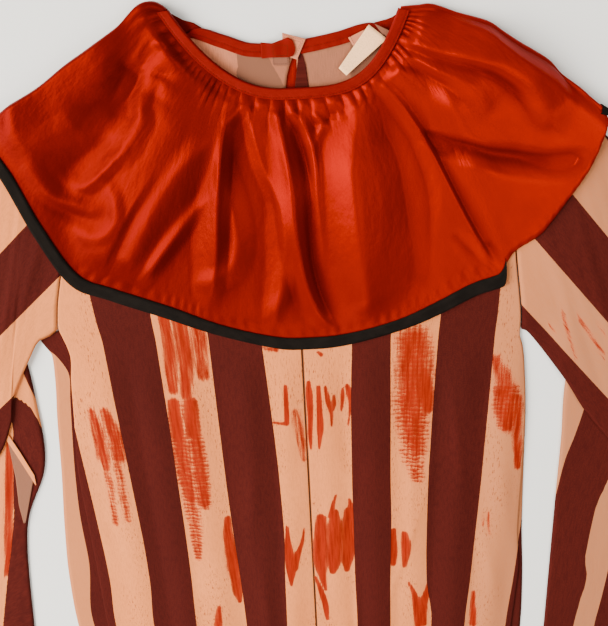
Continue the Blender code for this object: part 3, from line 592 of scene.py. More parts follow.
def bump(tree, shader, height, strength, distance=1.0):
    """Relief of a height in millimetres."""
    inputs = {"Height": height, "Strength": strength, "Distance": distance / 1000}
    tree.links.new(add(tree, "Bump", None, inputs).outputs[0], shader.inputs["Normal"])


# ---------------------------------------------------------------- materials

CREAM = (0.70, 0.245, 0.082)
CREAM_DUSTY = (0.62, 0.21, 0.068)
CREAM_FLECK = (0.46, 0.165, 0.062)       # between its threads
CREAM_SLUB = (0.43, 0.150, 0.056)        # in its thicker threads
CREAM_PAINTED_SHADE = (0.37, 0.158, 0.082)      # painted shade towards the right sleeve, where less light falls, and on the back panels
MAROON = (0.050, 0.0066, 0.0058)
MAROON_DUSTY = (0.040, 0.0054, 0.0048)
MAROON_FLECK = (0.11, 0.018, 0.014)
MAROON_SLUB = (0.030, 0.004, 0.004)
SEAM_PAINTED_SHADOW = (0.016, 0.005, 0.0045)       # painted shadow along the centre seam's groove
PAINT_RED = (0.27, 0.016, 0.002)
PAINT_DARK = (0.17, 0.008, 0.0012)
PAINT_THIN = (0.52, 0.08, 0.025)
PAINT_SPECK = (0.16, 0.030, 0.012)
INSIDE_CREAM = (0.30, 0.115, 0.066)      # the wrong side of a cream stripe
INSIDE_CREAM_PAINTED_LIGHT = (0.62, 0.22, 0.12)         # painted light, the wrong side lightened towards the left
INSIDE_MAROON = (0.20, 0.08, 0.047)
INSIDE_RIB = (0.17, 0.075, 0.045)
SATIN_RED = (0.108, 0.0021, 0.0004)      # at the left shoulder, kept darker there as painted shade
SATIN_PAINTED_LIGHT = (0.240, 0.0056, 0.0010)    # painted light, lighter at the right shoulder
SATIN_MOTTLE_AND_PAINTED_SHADE = (0.060, 0.0009, 0.0003)     # random mottling, and painted shade down in the folds
SATIN_SHEEN = (1.0, 0.05, 0.01, 1.0)
BINDING_RED = (0.160, 0.0040, 0.0024)
BINDING_WORN = (0.125, 0.0028, 0.0020)
TRIM_BLACK = (0.0042, 0.0036, 0.0035)
TRIM_WORN = (0.009, 0.0075, 0.007)


def in_maroon(tree, across):
    """1 in a maroon stripe and 0 in a cream one."""
    turn = calc(tree, "FRACT", times(tree, across, 1000 / (2 * STRIPE)))
    return calc(tree, "GREATER_THAN", turn, 0.5)


def cloth_print(tree, cloth):
    """Colour of the printed stripes with their dust and slubs, painted shade towards the right and on the
    back, and a painted shadow along the centre seam; and how much of each point is cream.
    """
    threads = uneven(tree, cloth, 900, 900, 2.0)
    maroon = in_maroon(tree, scaled(tree, threads, 0.0006, split(tree, cloth)[0]))
    wash = between(tree, uneven(tree, cloth, 9, 5, 4.0), 0.3, 0.75)
    fleck = times(tree, between(tree, threads, 0.35, 0.65), 0.24)
    slubs = between(tree, uneven(tree, cloth, 520, 110, 3.0, 0.6), 0.42, 0.66)
    # painted shade: the cream is darkened towards the right sleeve and on the back panels
    to_right = between(tree, split(tree, on_object(tree))[0], 0.10, 0.32)
    painted_shade = calc(tree, "MAXIMUM", to_right, times(tree, marked(tree, "behind"), 0.6))
    cream = mixed(tree, wash, CREAM, CREAM_DUSTY)
    cream = mixed(tree, fleck, cream, CREAM_FLECK)
    cream = mixed(tree, painted_shade, cream, CREAM_PAINTED_SHADE)
    cream = mixed(tree, times(tree, slubs, 0.3), cream, CREAM_SLUB)
    dark = mixed(tree, wash, MAROON, MAROON_DUSTY)
    dark = mixed(tree, fleck, dark, MAROON_FLECK)
    dark = mixed(tree, times(tree, slubs, 0.45), dark, MAROON_SLUB)
    # painted shadow along the centre seam
    seam = between(tree, marked(tree, "near_seam"), 0.85, 0.91)
    colour = mixed(tree, times(tree, seam, 0.9), mixed(tree, maroon, cream, dark), SEAM_PAINTED_SHADOW)
    return colour, calc(tree, "SUBTRACT", 1.0, maroon)


def brush_strokes(tree, cloth, streaks):
    """How much of each point the wet paint covers: solid marks, streaks along the stripe, and bands
    where the cloth's ribs caught the brush."""
    broken = marked(tree, "paint_broken")
    ribs = uneven(tree, cloth, 110, 230, 4.0, 0.6)
    ladder = scaled(tree, ribs, 13.0, times(tree, split(tree, cloth)[1], 2 * math.pi / LADDER_PITCH))
    ladder = times(tree, calc(tree, "SINE", ladder), 0.11)
    bands = calc(tree, "ADD", mixed_value(tree, 0.5, ribs, streaks), ladder)
    pattern = mixed_value(tree, marked(tree, "paint_across"), streaks, bands)
    grain = calc(tree, "SUBTRACT", uneven(tree, cloth, 1500, 900, 2.0), 0.5)
    pattern = calc(tree, "SUBTRACT", scaled(tree, grain, 0.5, pattern), 0.52)
    loose = times(tree, pattern, scaled(tree, broken, 3.6, 0.5))
    wet = calc(tree, "ADD", calc(tree, "SUBTRACT", marked(tree, "paint"), 0.72), loose)
    thin = times(tree, broken, between(tree, wet, 1.2, 0.1))
    return times(tree, between(tree, wet, 0.02, 0.30), scaled(tree, thin, -0.5, 1.0))


def striped_cloth():
    """Printed polyester: cream and maroon stripes, with paint on the cream ones where it is marked."""
    made, tree, shader = new_material("striped_cloth", CREAM, 0.8, Specular_IOR_Level=0.04)
    cloth = cloth_map(tree)
    colour, on_cream = cloth_print(tree, cloth)
    streaks = uneven(tree, cloth, 360, 24, 5.0, 0.62)
    # thin paint rubbed into the cloth round the strokes
    near_paint = between(tree, marked(tree, "paint"), 0.05, 1.1)
    smeared = times(tree, times(tree, near_paint, between(tree, streaks, 0.3, 0.62)), on_cream)
    colour = mixed(tree, times(tree, smeared, 0.45), colour, PAINT_THIN)
    # specks of dried paint, in patches
    specks = between(tree, uneven(tree, cloth, 700, 130, 3.0, 0.7), 0.57, 0.64)
    patches = between(tree, uneven(tree, cloth, 26, 9, 2.0), 0.46, 0.60)
    dried = times(tree, times(tree, specks, patches), times(tree, on_cream, marked(tree, "front")))
    colour = mixed(tree, times(tree, dried, 0.85), colour, PAINT_SPECK)
    covered = times(tree, brush_strokes(tree, cloth, streaks), on_cream)
    red = mixed(tree, between(tree, streaks, 0.35, 0.7), PAINT_RED, PAINT_DARK)
    tree.links.new(mixed(tree, covered, colour, red), shader.inputs["Base Color"])
    crumple = uneven(tree, cloth, 38, 22, 3.0)
    height = scaled(tree, crumple, 1.2, weave(tree, cloth, 0.9, 0.05))
    height = calc(tree, "ADD", height, times(tree, covered, 0.08))
    bump(tree, shader, height, 0.55)
    return made


def wrong_side_cloth():
    """The inside of the striped cloth: greyish, with the print only just showing through, and painted
    light towards the left.
    """
    made, tree, shader = new_material("cloth_wrong_side", (0.50, 0.24, 0.15), 0.9)
    cloth = cloth_map(tree)
    ribs = uneven(tree, cloth, 1500, 120, 2.0)
    # painted light: the wrong side's cream is lighter towards the left
    to_left = between(tree, times(tree, split(tree, on_object(tree))[0], -1.0), -0.06, 0.06)
    cream = mixed(tree, to_left, INSIDE_CREAM, INSIDE_CREAM_PAINTED_LIGHT)
    base = mixed(tree, in_maroon(tree, split(tree, cloth)[0]), cream, INSIDE_MAROON)
    ribbed = times(tree, between(tree, ribs, 0.3, 0.7), 0.35)
    tree.links.new(mixed(tree, ribbed, base, INSIDE_RIB), shader.inputs["Base Color"])
    bump(tree, shader, scaled(tree, ribs, 0.25, weave(tree, cloth, 1.0, 0.12)), 0.8)
    return made


def satin():
    """Polyester satin: coloured gloss, stretched across its long floating threads. Its colour carries
    painted light towards the right, and painted shade at the left and in the hollows of its folds.
    """
    made, tree, shader = new_material(
        "satin", SATIN_RED, 0.40, Metallic=0.37, Anisotropic=0.5, IOR=1.15, Specular_Tint=SATIN_SHEEN)
    cloth = cloth_map(tree)
    tangent = add(tree, "Tangent", {"direction_type": "UV_MAP", "uv_map": "cloth"}).outputs[0]
    tree.links.new(tangent, shader.inputs["Tangent"])
    threads = uneven(tree, cloth, 1800, 260, 2.0)
    soft = uneven(tree, cloth, 30, 14, 4.0)
    # painted light and shade: darker at the left shoulder, lighter towards the right
    to_right = between(tree, split(tree, on_object(tree))[0], -0.20, 0.26)
    colour = mixed(tree, to_right, SATIN_RED, SATIN_PAINTED_LIGHT)
    shade = times(tree, between(tree, soft, 0.3, 0.75), 0.2)
    colour = mixed(tree, shade, colour, SATIN_MOTTLE_AND_PAINTED_SHADE)
    # painted shade in the hollows between the folds
    painted_hollow_shade = marked(tree, "painted_hollow_shade")
    colour = mixed(tree, times(tree, painted_hollow_shade, 0.7), colour, SATIN_MOTTLE_AND_PAINTED_SHADE)
    tree.links.new(colour, shader.inputs["Base Color"])
    crinkle = uneven(tree, cloth, 130, 75, 4.0, 0.6)
    height = scaled(tree, soft, 1.1, times(tree, threads, 0.05))
    height = scaled(tree, crinkle, 0.7, height)
    bump(tree, shader, height, 0.6)
    return made


def woven_tape(name, colour, worn, pitch, rough=0.7):
    """Binding or trim: a narrow woven band with fine ribs along it."""
    made, tree, shader = new_material(name, colour, rough, Specular_IOR_Level=0.05)
    cloth = cloth_map(tree)
    ribs = uneven(tree, cloth, 260, 2200, 2.0)
    wash = uneven(tree, cloth, 60, 90, 3.0)
    mixture = times(tree, between(tree, wash, 0.35, 0.7), 0.5)
    tree.links.new(mixed(tree, mixture, colour, worn), shader.inputs["Base Color"])
    height = scaled(tree, ribs, 0.2, weave(tree, cloth, pitch, 0.1))
    bump(tree, shader, height, 0.7)
    return made


def plain_tape(name, colour, rough, grain):
    """Hook tape, label ribbon and thread."""
    made, tree, shader = new_material(name, colour, rough, Specular_IOR_Level=0.12)
    where = on_object(tree)
    fine = noise(tree, where, grain, 3.0)
    darker = tuple(0.72 * c for c in colour)
    share = times(tree, between(tree, fine, 0.4, 0.75), 0.6)
    tree.links.new(mixed(tree, share, colour, darker), shader.inputs["Base Color"])
    bump(tree, shader, fine, 0.5, 0.3)
    return made


MATERIALS = {
    "striped_cloth": striped_cloth(),
    "wrong_side": wrong_side_cloth(),
    "cream_edge": plain_tape("cream_edge", CREAM, 0.8, 1500),
    "satin": satin(),
    "binding": woven_tape("binding", BINDING_RED, BINDING_WORN, 0.8),
    "trim": woven_tape("trim", TRIM_BLACK, TRIM_WORN, 0.9, 0.75),
    "tape": plain_tape("hook_tape", (0.50, 0.19, 0.115), 0.8, 2600),
    "clear_tape": plain_tape("clear_tape", (0.20, 0.088, 0.06), 0.35, 1800),
    "label": plain_tape("label_ribbon", (0.95, 0.62, 0.36), 0.6, 900),
    "red_thread": plain_tape("red_thread", (0.10, 0.0035, 0.002), 0.6, 3000),
    "dark_thread": plain_tape("dark_thread", (0.035, 0.016, 0.012), 0.6, 3000),
    "cream_thread": plain_tape("cream_thread", (0.62, 0.42, 0.29), 0.6, 3000),
}


# ---------------------------------------------------------------- making pieces

def finish_piece(name, tool, materials, nodes=(), wall=0.0, offset=0.0):
    """A mesh made an object of the suit, with its wall, materials and place in the frame."""
    mesh = bpy.data.meshes.new(name)
    tool.to_mesh(mesh)
    tool.free()
    piece = bpy.data.objects.new(name, mesh)
    bpy.context.scene.collection.objects.link(piece)
    for material in materials:
        mesh.materials.append(MATERIALS[material])
    mesh.shade_smooth()
    if wall:
        thicken = piece.modifiers.new("Wall", "SOLIDIFY")
        thicken.thickness = wall / 1000
        thicken.offset = offset
        bpy.context.view_layer.objects.active = piece
        bpy.ops.object.modifier_apply(modifier=thicken.name)
    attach(piece, "root")
    if nodes:
        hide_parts(*nodes)
    return piece


def cloth_sheet(name, grid, cloth, materials, nodes=(), wall=THIN_CLOTH, offset=0.0,
                joined=False, attributes=None, face_material=None):
    """A sheet through grid[row, column], with cloth[row, column] as its UV map in metres of cloth."""
    rows, columns = grid.shape[:2]
    tool = bmesh.new()
    bmesh.ops.create_grid(tool, x_segments=columns - 1, y_segments=rows - 1, size=1)
    tool.verts.ensure_lookup_table()
    spots = world(grid).reshape(-1, 3)
    for vert, spot in zip(tool.verts, spots):
        vert.co = spot
    layers = {key: tool.verts.layers.float.new(key) for key in (attributes or {})}
    for key, values in (attributes or {}).items():
        for vert, value in zip(tool.verts, np.ravel(values)):
            vert[layers[key]] = value
    uv = tool.loops.layers.uv.new("cloth")
    flat = np.asarray(cloth).reshape(-1, 2)
    for face in tool.faces:
        if face_material is not None:
            face.material_index = int(face_material(face.calc_center_median()))
        for loop in face.loops:
            loop[uv].uv = flat[loop.vert.index]
    if joined:
        bmesh.ops.remove_doubles(tool, verts=tool.verts, dist=1e-6)
    return finish_piece(name, tool, materials, nodes, wall, offset)


def patch(name, low, high, level, material, nodes=(), wall=0.4, lift=None, upright=False):
    """A small flat piece between two of its edges, each a polyline. upright is for a strip that runs
    down the suit in one maroon stripe, with its edges on the left and right."""
    shares = np.linspace(0, 1, 36)
    low, high = along(np.array(low, float), shares), along(np.array(high, float), shares)
    grid = np.array([low + (high - low) * t for t in np.linspace(0, 1, 16)])
    if upright:
        grid = grid.transpose(1, 0, 2)[::-1]
    x, y = grid[..., 0], grid[..., 1]
    cloth = np.stack([np.full_like(x, 1.5 * STRIPE) if upright else x, y], -1) / 1000
    z = level + (lift(x, y) if lift else 0 * x)
    return cloth_sheet(name, np.dstack([grid, z[..., None]]), cloth, [material], nodes, wall)


def stitches(name, line, pitch, thick, material):
    """A row of stitches along points on the cloth, each a short thread that dips in at its ends."""
    line = np.asarray(line, float)
    run = np.r_[0, np.cumsum(np.linalg.norm(np.diff(line, axis=0), axis=1))]
    tool = bmesh.new()
    for k in range(int(run[-1] / pitch)):
        start, end = [Vector([np.interp((k + share) * pitch, run, line[:, axis]) for axis in range(3)])
                      for share in (0.3, 0.7)]
        turn = (end - start).to_track_quat("X", "Z").to_matrix().to_4x4()
        shape = Matrix.Diagonal((0.36 * pitch, thick, 0.8 * thick, 1))
        bmesh.ops.create_uvsphere(tool, u_segments=8, v_segments=5, radius=0.001,
                                  matrix=Matrix.Translation(place((start + end) / 2)) @ turn @ shape)
    return finish_piece(name, tool, [material])


# ---------------------------------------------------------------- body panels

CREASES = 44                 # small creases over both front panels
HEM_TURN = 21                # depth of the hem turned up inside each leg
PANEL_COLUMNS = (100, 50)    # front, back
RAMP_ROWS = np.linspace(60, 1, 30)
TORSO_ROWS = (np.linspace(0, CROTCH + 0.1, 220), np.linspace(0, CROTCH + 0.1, 120))
LEG_ROWS = np.linspace(CROTCH - 6, HEM, 80)


def outer_edge(ys, side, part):
    """Armhole seam above the underarm and side edge below it; part is 0 for front, 1 for back."""
    armhole = through(ys, ARMHOLES, 1 if side < 0 else 2)
    edge = through(ys, SIDES, (1 if side < 0 else 3) + part)
    return np.stack([np.where(ys > 22, armhole, edge), ys], -1)


def inseam(ys, side):
    """Inner edge below the neck: the centre seam, then the inside leg."""
    spread = 3 + 30 * ease((CROTCH - ys) / 380)
    x = np.where(ys > CROTCH, SEAM / 2, spread)
    return np.stack([side * x, ys], -1)


def stripes_of_body(x, y):
    """UV of the body's cloth: stripes counted outward from the centre seam (cream from 0 to 1,
    maroon from 1 to 2 and so on), times the stripe's width, and the height."""
    count = np.zeros_like(x)
    for table, side in ((STRIPE_EDGES_LEFT, -1), (STRIPE_EDGES_RIGHT, 1)):
        edges = [side * through(y, table, k) for k in range(1, 5)]
        edges = [edges[0] - STRIPE, *edges, edges[3] + STRIPE, edges[3] + 2 * STRIPE]
        out = x * side
        for k, (low, high) in enumerate(zip(edges, edges[1:])):
            share = (out - low) / (high - low)
            count = np.where((out > 0) & (share >= 0), k + share, count)
    return np.stack([count * STRIPE / 1000, y / 1000], -1)


def stripes_of_back(x, y, side):
    """UV of a back panel's cloth, in the same terms."""
    if side > 0:
        return stripes_of_body(x, y)
    out = -x
    count = 6 + (out + through(y, BACK_EDGE_LEFT)) / STRIPE
    # beside the opening the cream edge is turned in
    turned = 2.5 + 0.54 * np.clip(y - 246, 0, 30)
    count = np.where((y > 200) & (out < 40), 1 + (out - turned) / (40 - turned), count)
    return np.stack([count * STRIPE / 1000, y / 1000], -1)


def paint_on(x, y, table):
    """Paint on each point: its cover, how broken up it is, and how far into bands across the stripes."""
    points = np.stack([x, y], -1).reshape(-1, 2)
    cover = np.zeros(len(points))
    broken, across = np.zeros(len(points)), np.zeros(len(points))
    for rough, turned, strength, *stroke in table:
        line = curve(stroke, 5)
        reach = 2.2 * line[:, 2].max() + 4
        low, high = line[:, :2].min(axis=0) - reach, line[:, :2].max(axis=0) + reach
        near = np.flatnonzero(((points > low) & (points < high)).all(axis=1))
        gap, nearest, share = beside(points[near], line[:, :2])
        half = line[nearest, 2] * (1 - share) + line[nearest + 1, 2] * share
        field = np.clip((half - gap) / np.maximum(0.55 * half, 2.0), -1, 1) + strength
        over = near[field > cover[near]]
        cover[over] = field[field > cover[near]]
        broken[over], across[over] = rough, turned
    return {"paint": cover, "paint_broken": broken, "paint_across": across}


def panel_points(side, part, upper_inner, height):
    """Rows from the inner edge to the outer one: slanting ones to the underarm, then level ones."""
    level = np.r_[RAMP_ROWS, TORSO_ROWS[part], LEG_ROWS]
    even = np.linspace(0, 1, PANEL_COLUMNS[part])[None, :, None]
    upper_outer = outer_edge(np.linspace(251, 66, len(upper_inner)), side, part)
    inner = np.vstack([upper_inner, inseam(level, side)])[:, None, :]
    outer = np.vstack([upper_outer, outer_edge(level, side, part)])[:, None, :]
    share = 0.35 * (0.5 - 0.5 * np.cos(math.pi * even)) + 0.65 * even
    flat = inner * (1 - share) + outer * share
    x, y = flat[..., 0], flat[..., 1]
    grid = np.dstack([flat, height(x, y)[..., None]])
    return grid if side < 0 else grid[:, ::-1]


def from_edges(grid, side):
    """How far each point lies from the panel's inner and outer edges."""
    rows = grid if side < 0 else grid[:, ::-1]
    reach = np.linalg.norm(np.diff(rows[..., :2], axis=1), axis=-1)
    run = np.concatenate([np.zeros((len(rows), 1)), np.cumsum(reach, axis=1)], axis=1)
    out = (run, run[:, -1:] - run)
    return out if side < 0 else (out[0][:, ::-1], out[1][:, ::-1])


def creases(x, y):
    """Small soft creases of the front, mostly upright, uneven in length and depth."""
    lines = 0 * x
    for k in range(CREASES):
        rng = np.random.default_rng(40 + k)
        at_x, at_y = rng.uniform(-250, 240), rng.uniform(-960, 20)
        lean, half, long = rng.uniform(-0.25, 0.25), rng.uniform(4, 9), rng.uniform(30, 90)
        tall = rng.uniform(0.4, 1.3) * rng.choice([-0.5, 1])
        d = (x - at_x - lean * (y - at_y)) / half
        lines = lines + tall * np.exp(-d ** 2 - ((y - at_y) / long) ** 2)
    return lines


def front_panel(name, side):
    """Front of body and leg in one, with its folds, the puckered centre seam, the hem and the paint."""
    s = side * np.linspace(0.93, 0.0, 26)
    neck = front_neck(s, TUCK)
    neck[-1, 0] = side * SEAM / 2
    centre = inseam(np.linspace(225, 66, 20), side)
    grid = panel_points(side, 0, np.vstack([neck, centre]), front_floor)
    x, y = grid[..., 0], grid[..., 1]
    inner, outer = from_edges(grid, side)
    seam = 0.5 * np.exp(-(inner / 2.0) ** 2) + 0.6 * np.exp(-(outer / 2.5) ** 2)
    pucker = 0.25 * np.sin(y / 2.3 + 2 * np.sin(y / 17)) * np.exp(-(inner / 7) ** 2)
    free = ease((FOLDS_START - y) / 60)
    above_hem = y - HEM - HEM_TURN
    hem = 0.5 * (ease(above_hem / -1.5)) - 0.25 * np.exp(-(above_hem / 1.6) ** 2)
    grid[..., 2] += 0.55 + free * (np.maximum(creases(x, y), -0.4) + pucker - seam) + hem
    marks = paint_on(x, y, PAINT)
    marks["front"] = np.ones(x.size)
    # where the painted shadow along the centre seam goes
    marks["near_seam"] = np.clip(1 - np.abs(x) / 10, 0, 1)
    piece = cloth_sheet(name + "_cloth", grid, stripes_of_body(x, y), ["striped_cloth"],
                        [name], attributes=marks)


def back_panel(name, side):
    """Back of body and leg in one, open at the neck, its wrong side up where the neck shows it."""
    s = side * np.linspace(0.935, 0.15, 24)
    neck = back_neck(s, TUCK)
    opening = [(8.0, 276.0), (-2.0, 245.0), (-1.0, 180.0), (-SEAM / 2, SLIT_FOOT)]
    if side > 0:
        opening = [(8.4, 276.0), (7.0, 245.0), (3.0, 180.0), (SEAM / 2, SLIT_FOOT)]
    edge = along(curve(opening), np.linspace(0, 1, 22))
    down = inseam(np.linspace(104, 66, 8), side)
    grid = panel_points(side, 1, np.vstack([neck, edge, down]), back_floor)
    x, y = grid[..., 0], grid[..., 1]
    grid[..., 2] += 0.35
    # behind marks the back panels, whose cream gets painted shade
    piece = cloth_sheet(name + "_cloth", grid, stripes_of_back(x, y, side),
                        ["striped_cloth", "wrong_side"], [name],
                        attributes={"behind": np.ones(x.size)}, face_material=seen_in_neck)
    facing = [slit_facing()] if side > 0 else []


def slit_facing():
    """The maroon edge of the right back panel, turned over along the opening."""
    inner = [(10.4, 272), (8.2, 262), (5.6, 246), (3.0, 215)]
    outer = [(12.6, 272), (15.2, 262), (16.9, 246), (17.5, 215)]
    return patch("slit_facing", inner, outer, BACK_RISE + 1.0, "striped_cloth", wall=0.5,
                 upright=True)


def seen_in_neck(at):
    """Whether a face of a back panel lies inside the suit, where its wrong side shows."""
    x, y = at.x * 1000 + SUIT_CENTRE[0], at.y * 1000 + SUIT_CENTRE[1]
    return y > 30 and abs(x) < 180


# ---------------------------------------------------------------- sleeves

SLEEVE_COLUMNS = 44                         # points across each wall of a sleeve
UPPER_ROWS, ELBOW_ROWS, LOWER_ROWS = 56, 15, 66    # rings along the upper arm, elbow and forearm
UPPER_ARM, ELBOW, FOREARM = 270, 15, 280    # lengths of cloth along them
SLEEVE_BULGE = 2.3                          # how far a sleeve's top wall stands up
SLEEVE_ROUNDING = 2.2                       # how far in from its edges a sleeve is rounded
SLEEVE_SINK = 0.3                           # how far it lies below its solid's middle
SLEEVE_TOP = FOREARM_RISE - 0.55            # level of a flattened sleeve's top wall
SLEEVE_UNDERSIDE = 0.55                     # and of its lower wall
SLEEVE_SEAM = 1.4                           # distance of a sleeve from the armhole seam
UPPER_ARM_STRIPES = {  # side: direction across the stripes, start and width of the first
    -1: (-0.643, 0.766, 158, 52),
    1: (0.743, 0.669, 184, 47.5),
}
FOREARM_RIGHT_EDGES = [  # y, then x of each edge of the right forearm's stripes
    (-60, 288, 334, 356), (-82, 286, 333, 355), (-117, 281, 330, 353), (-143, 276, 328, 352),
    (-173, 273.4, 325.5, 351), (-216, 272, 318, 349), (-283, 272, 317, 347), (-325, 272, 324, 345.6),
    (-376, 272, 320.6, 344.5), (-490, 272, 318, 343),
]
FOREARM_TURN = [  # x, y of the line where the left forearm's cream top ends
    (-330, -52), (-305.6, -56.7), (-299, -60.6), (-292, -67), (-288.6, -76), (-287.4, -85), (-282, -120),
]
FOREARM_EDGE = [  # y, x of the outer edge of its maroon stripe
    (-90, -316), (-122, -324.5), (-217, -348), (-271, -364.5), (-312, -379), (-356, -393.6), (-500, -440),
]


def around(count):
    """Shares across a flattened tube and its side (1 top, -1 bottom), once round from the underarm."""
    across = 0.5 - 0.5 * np.cos(np.linspace(0, math.pi, count))
    across = 0.3 * across + 0.7 * np.linspace(0, 1, count)
    share = np.r_[across, across[::-1][1:]]
    side = np.r_[np.ones(count), -np.ones(count - 1)]
    return share, side


def sleeve(name, shape, paint):
    """Upper arm from the armhole to the elbow fold, then the forearm under it, to the cuff."""
    under, over = curve(shape["under"]), curve(shape["over"])
    inner, outer = curve(shape["inner"]), curve(shape["outer"])
    side = shape["side"]
    fold = under[-1] - over[-1]
    away = np.array([-fold[1], fold[0]]) / np.hypot(*fold)
    away *= math.copysign(1, away[0] * side)
    share, face = around(SLEEVE_COLUMNS)
    seam_line = under[0] + (over[0] - under[0]) * share[:, None]
    seam = np.stack([through(seam_line[:, 1], ARMHOLES, 1 if side < 0 else 2) + side * SLEEVE_SEAM,
                     seam_line[:, 1]], -1)
    bow = seam - seam_line
    grid, cloth, seen = [], [], []

    def section(low, high, extra, middle, turn, bulge, arm, length):
        """One ring round the sleeve. turn says how far round the elbow it is; arm is 1 on the forearm."""
        c, s = math.cos(math.radians(turn)), math.sin(math.radians(turn))
        flat = low + (high - low) * share[:, None] + extra
        wide = np.hypot(*(high - low))
        from_end = np.minimum(share, 1 - share) * wide
        rounding = np.sqrt(np.clip(1 - (1 - np.clip(from_end / SLEEVE_ROUNDING, 0, 1)) ** 2, 0, 1))
        z = middle(flat)
        centre = (SLEEVE_TOP + SLEEVE_UNDERSIDE) / 2
        uneven_puff = 1 + 0.35 * wander(share, 7, 4) + 0.25 * wander(length / 160 + share, 8, 3)
        puff = bulge * np.sin(math.pi * share) * uneven_puff
        wall = np.where(face > 0, SLEEVE_TOP + np.maximum(puff, 0), SLEEVE_UNDERSIDE)
        reach = centre + (wall - centre) * rounding
        grid.append(np.column_stack([flat + np.outer(reach * s, away), z + c * reach]))
        seen.append(face > 0 if turn < 90 else face < 0)
        count = stripes_of_sleeve(flat, side, arm)
        cloth.append(np.column_stack([count * STRIPE / 1000, np.full(len(share), length / 1000)]))

    def over_body(flat):
        return sleeve_floor(flat[:, 0], flat[:, 1]) - SLEEVE_SINK

    def over_floor(flat):
        return np.full(len(flat), FOREARM_RISE - SLEEVE_SINK)

    for t in np.linspace(0, 1, UPPER_ROWS)[:-1]:
        extra = bow * (1 - ease(t / 0.5))
        section(along(under, t), along(over, t), extra, over_body, 0, float(ease(t / 0.3)) * SLEEVE_BULGE,
                0.0, t * UPPER_ARM)
    for turn in np.linspace(0, 180, ELBOW_ROWS):
        section(under[-1], over[-1], 0, over_floor, turn, SLEEVE_BULGE * (1 - turn / 180), turn / 180,
                UPPER_ARM + ELBOW * turn / 180)
    for t in np.linspace(0, 1, LOWER_ROWS)[1:]:
        section(along(outer, t), along(inner, t), 0, over_floor, 180, 0.0, 1.0,
                UPPER_ARM + ELBOW + t * FOREARM)
    grid, cloth, seen = np.array(grid), np.array(cloth), np.array(seen)
    if side > 0:
        grid, cloth, seen = grid[:, ::-1], cloth[:, ::-1], seen[:, ::-1]
    smears = paint_on(grid[..., 0], grid[..., 1], paint)
    smears["paint"] = smears["paint"] * seen.ravel()
    piece = cloth_sheet(name + "_cloth", grid, cloth, ["striped_cloth"], [name],
                        joined=True, offset=-1.0, attributes=smears)


def sleeve_left_fold():
    """The cloth of the left forearm turned back on itself: its wrong side, with a cream edge."""
    level = FOREARM_RISE + 0.1
    rim_outer = [(-330, -98), (-321, -128), (-312.5, -158), (-309.2, -171)]
    rim_inner = [(-326, -92), (-316, -124), (-307.5, -156), (-308.5, -170)]
    rim = patch("sleeve_left_rim", rim_outer, rim_inner, level + 0.5, "cream_edge",
                wall=0.5)
    fold_outer = [(-327, -118), (-330, -160), (-336, -200), (-337, -228)]
    fold_inner = [(-326, -99), (-317, -128), (-309, -160), (-334.5, -227)]
    turned = patch("sleeve_left_fold", fold_outer, fold_inner, level, "wrong_side",
                   wall=0.5)


def stripes_of_sleeve(flat, side, arm):
    """Stripes counted across a sleeve: along the upper arm where arm is 0, along the forearm where 1."""
    across_x, across_y, start, wide = UPPER_ARM_STRIPES[side]
    upper = (across_x * flat[:, 0] + across_y * flat[:, 1] - start) / wide
    lower = forearm_stripes_left(*flat.T) if side < 0 else forearm_stripes_right(*flat.T)
    return upper * (1 - arm) + lower * arm + 4


def forearm_stripes_right(x, y):
    """Cream from 0 to 1, maroon from 1 to 2 and so on, between the right forearm's edges."""
    first, second, third = (through(y, FOREARM_RIGHT_EDGES, k) for k in (1, 2, 3))
    return np.where(x < second, 1 + (x - first) / (second - first),
                    np.where(x < third, 2 + (x - second) / (third - second), 3 + (x - third) / STRIPE))


def forearm_stripes_left(x, y):
    """The same on the left forearm, whose maroon stripe starts below a curved line."""
    below = through(x, FOREARM_TURN) - y
    inside = x - through(y, FOREARM_EDGE)
    maroon = 1 + below / np.maximum(below + inside, 1)
    return np.where(below < 0, 1 + below / STRIPE, np.where(inside < 0, 2 - inside / STRIPE, maroon))


# ---------------------------------------------------------------- ruffle

FRONT_COLUMNS = 400        # rows of points from the neck outward over the front half
BACK_COLUMNS = 34          # and over each back half
# depths of the points along each line from the neck (0) to the outer edge (1)
DEPTHS = np.r_[0, 0.02, 0.04, np.linspace(0.055, 0.9, 68), 0.91, 0.92, 0.93, 0.945, 0.96, 0.975, 0.99,
               1.0]
TURNS = np.linspace(15, 165, 11)    # steps round a shoulder fold, in degrees
BROAD = 7.5                # height from which a fold counts as a broad one
SOFTENED = 2.4             # how far broad folds run into each other: more keeps them apart
SQUARE_OUT = (26, 34)      # how far the satin leaves the neck square to it, and how much farther at most
ROLL_START, ROLL_END = 0.775, 0.991    # shares of the outer edge between which it rolls under
NEAR_SHOULDER = 0.16       # share of the front's outer edge that a shoulder's outline shapes


def rays(neck, out, edge, reach, depths):
    """Curved lines that leave the neck square to it and end on the outer edge."""
    v = np.asarray(depths)[None, :, None]
    neck, out, edge = neck[:, None, :], out[:, None, :], edge[:, None, :]
    leave = neck + reach[:, None, None] * out
    arrive = edge - (edge - neck) / 3
    return (neck * (1 - v) ** 3 + 3 * leave * v * (1 - v) ** 2
            + 3 * arrive * v ** 2 * (1 - v) + edge * v ** 3)


def neck_line(neck, first, last, shares):
    """Points and outward directions along a neck edge, from s = first to s = last."""
    s = np.linspace(first, last, 401)
    line = neck(s, TUCK)
    length = np.r_[0, np.cumsum(np.hypot(*np.diff(line, axis=0).T))]
    at = np.interp(shares, length / length[-1], s)
    start, end = neck(at, TUCK), neck(at, BINDING)
    out = end - start
    return start, out / np.linalg.norm(out, axis=1, keepdims=True)


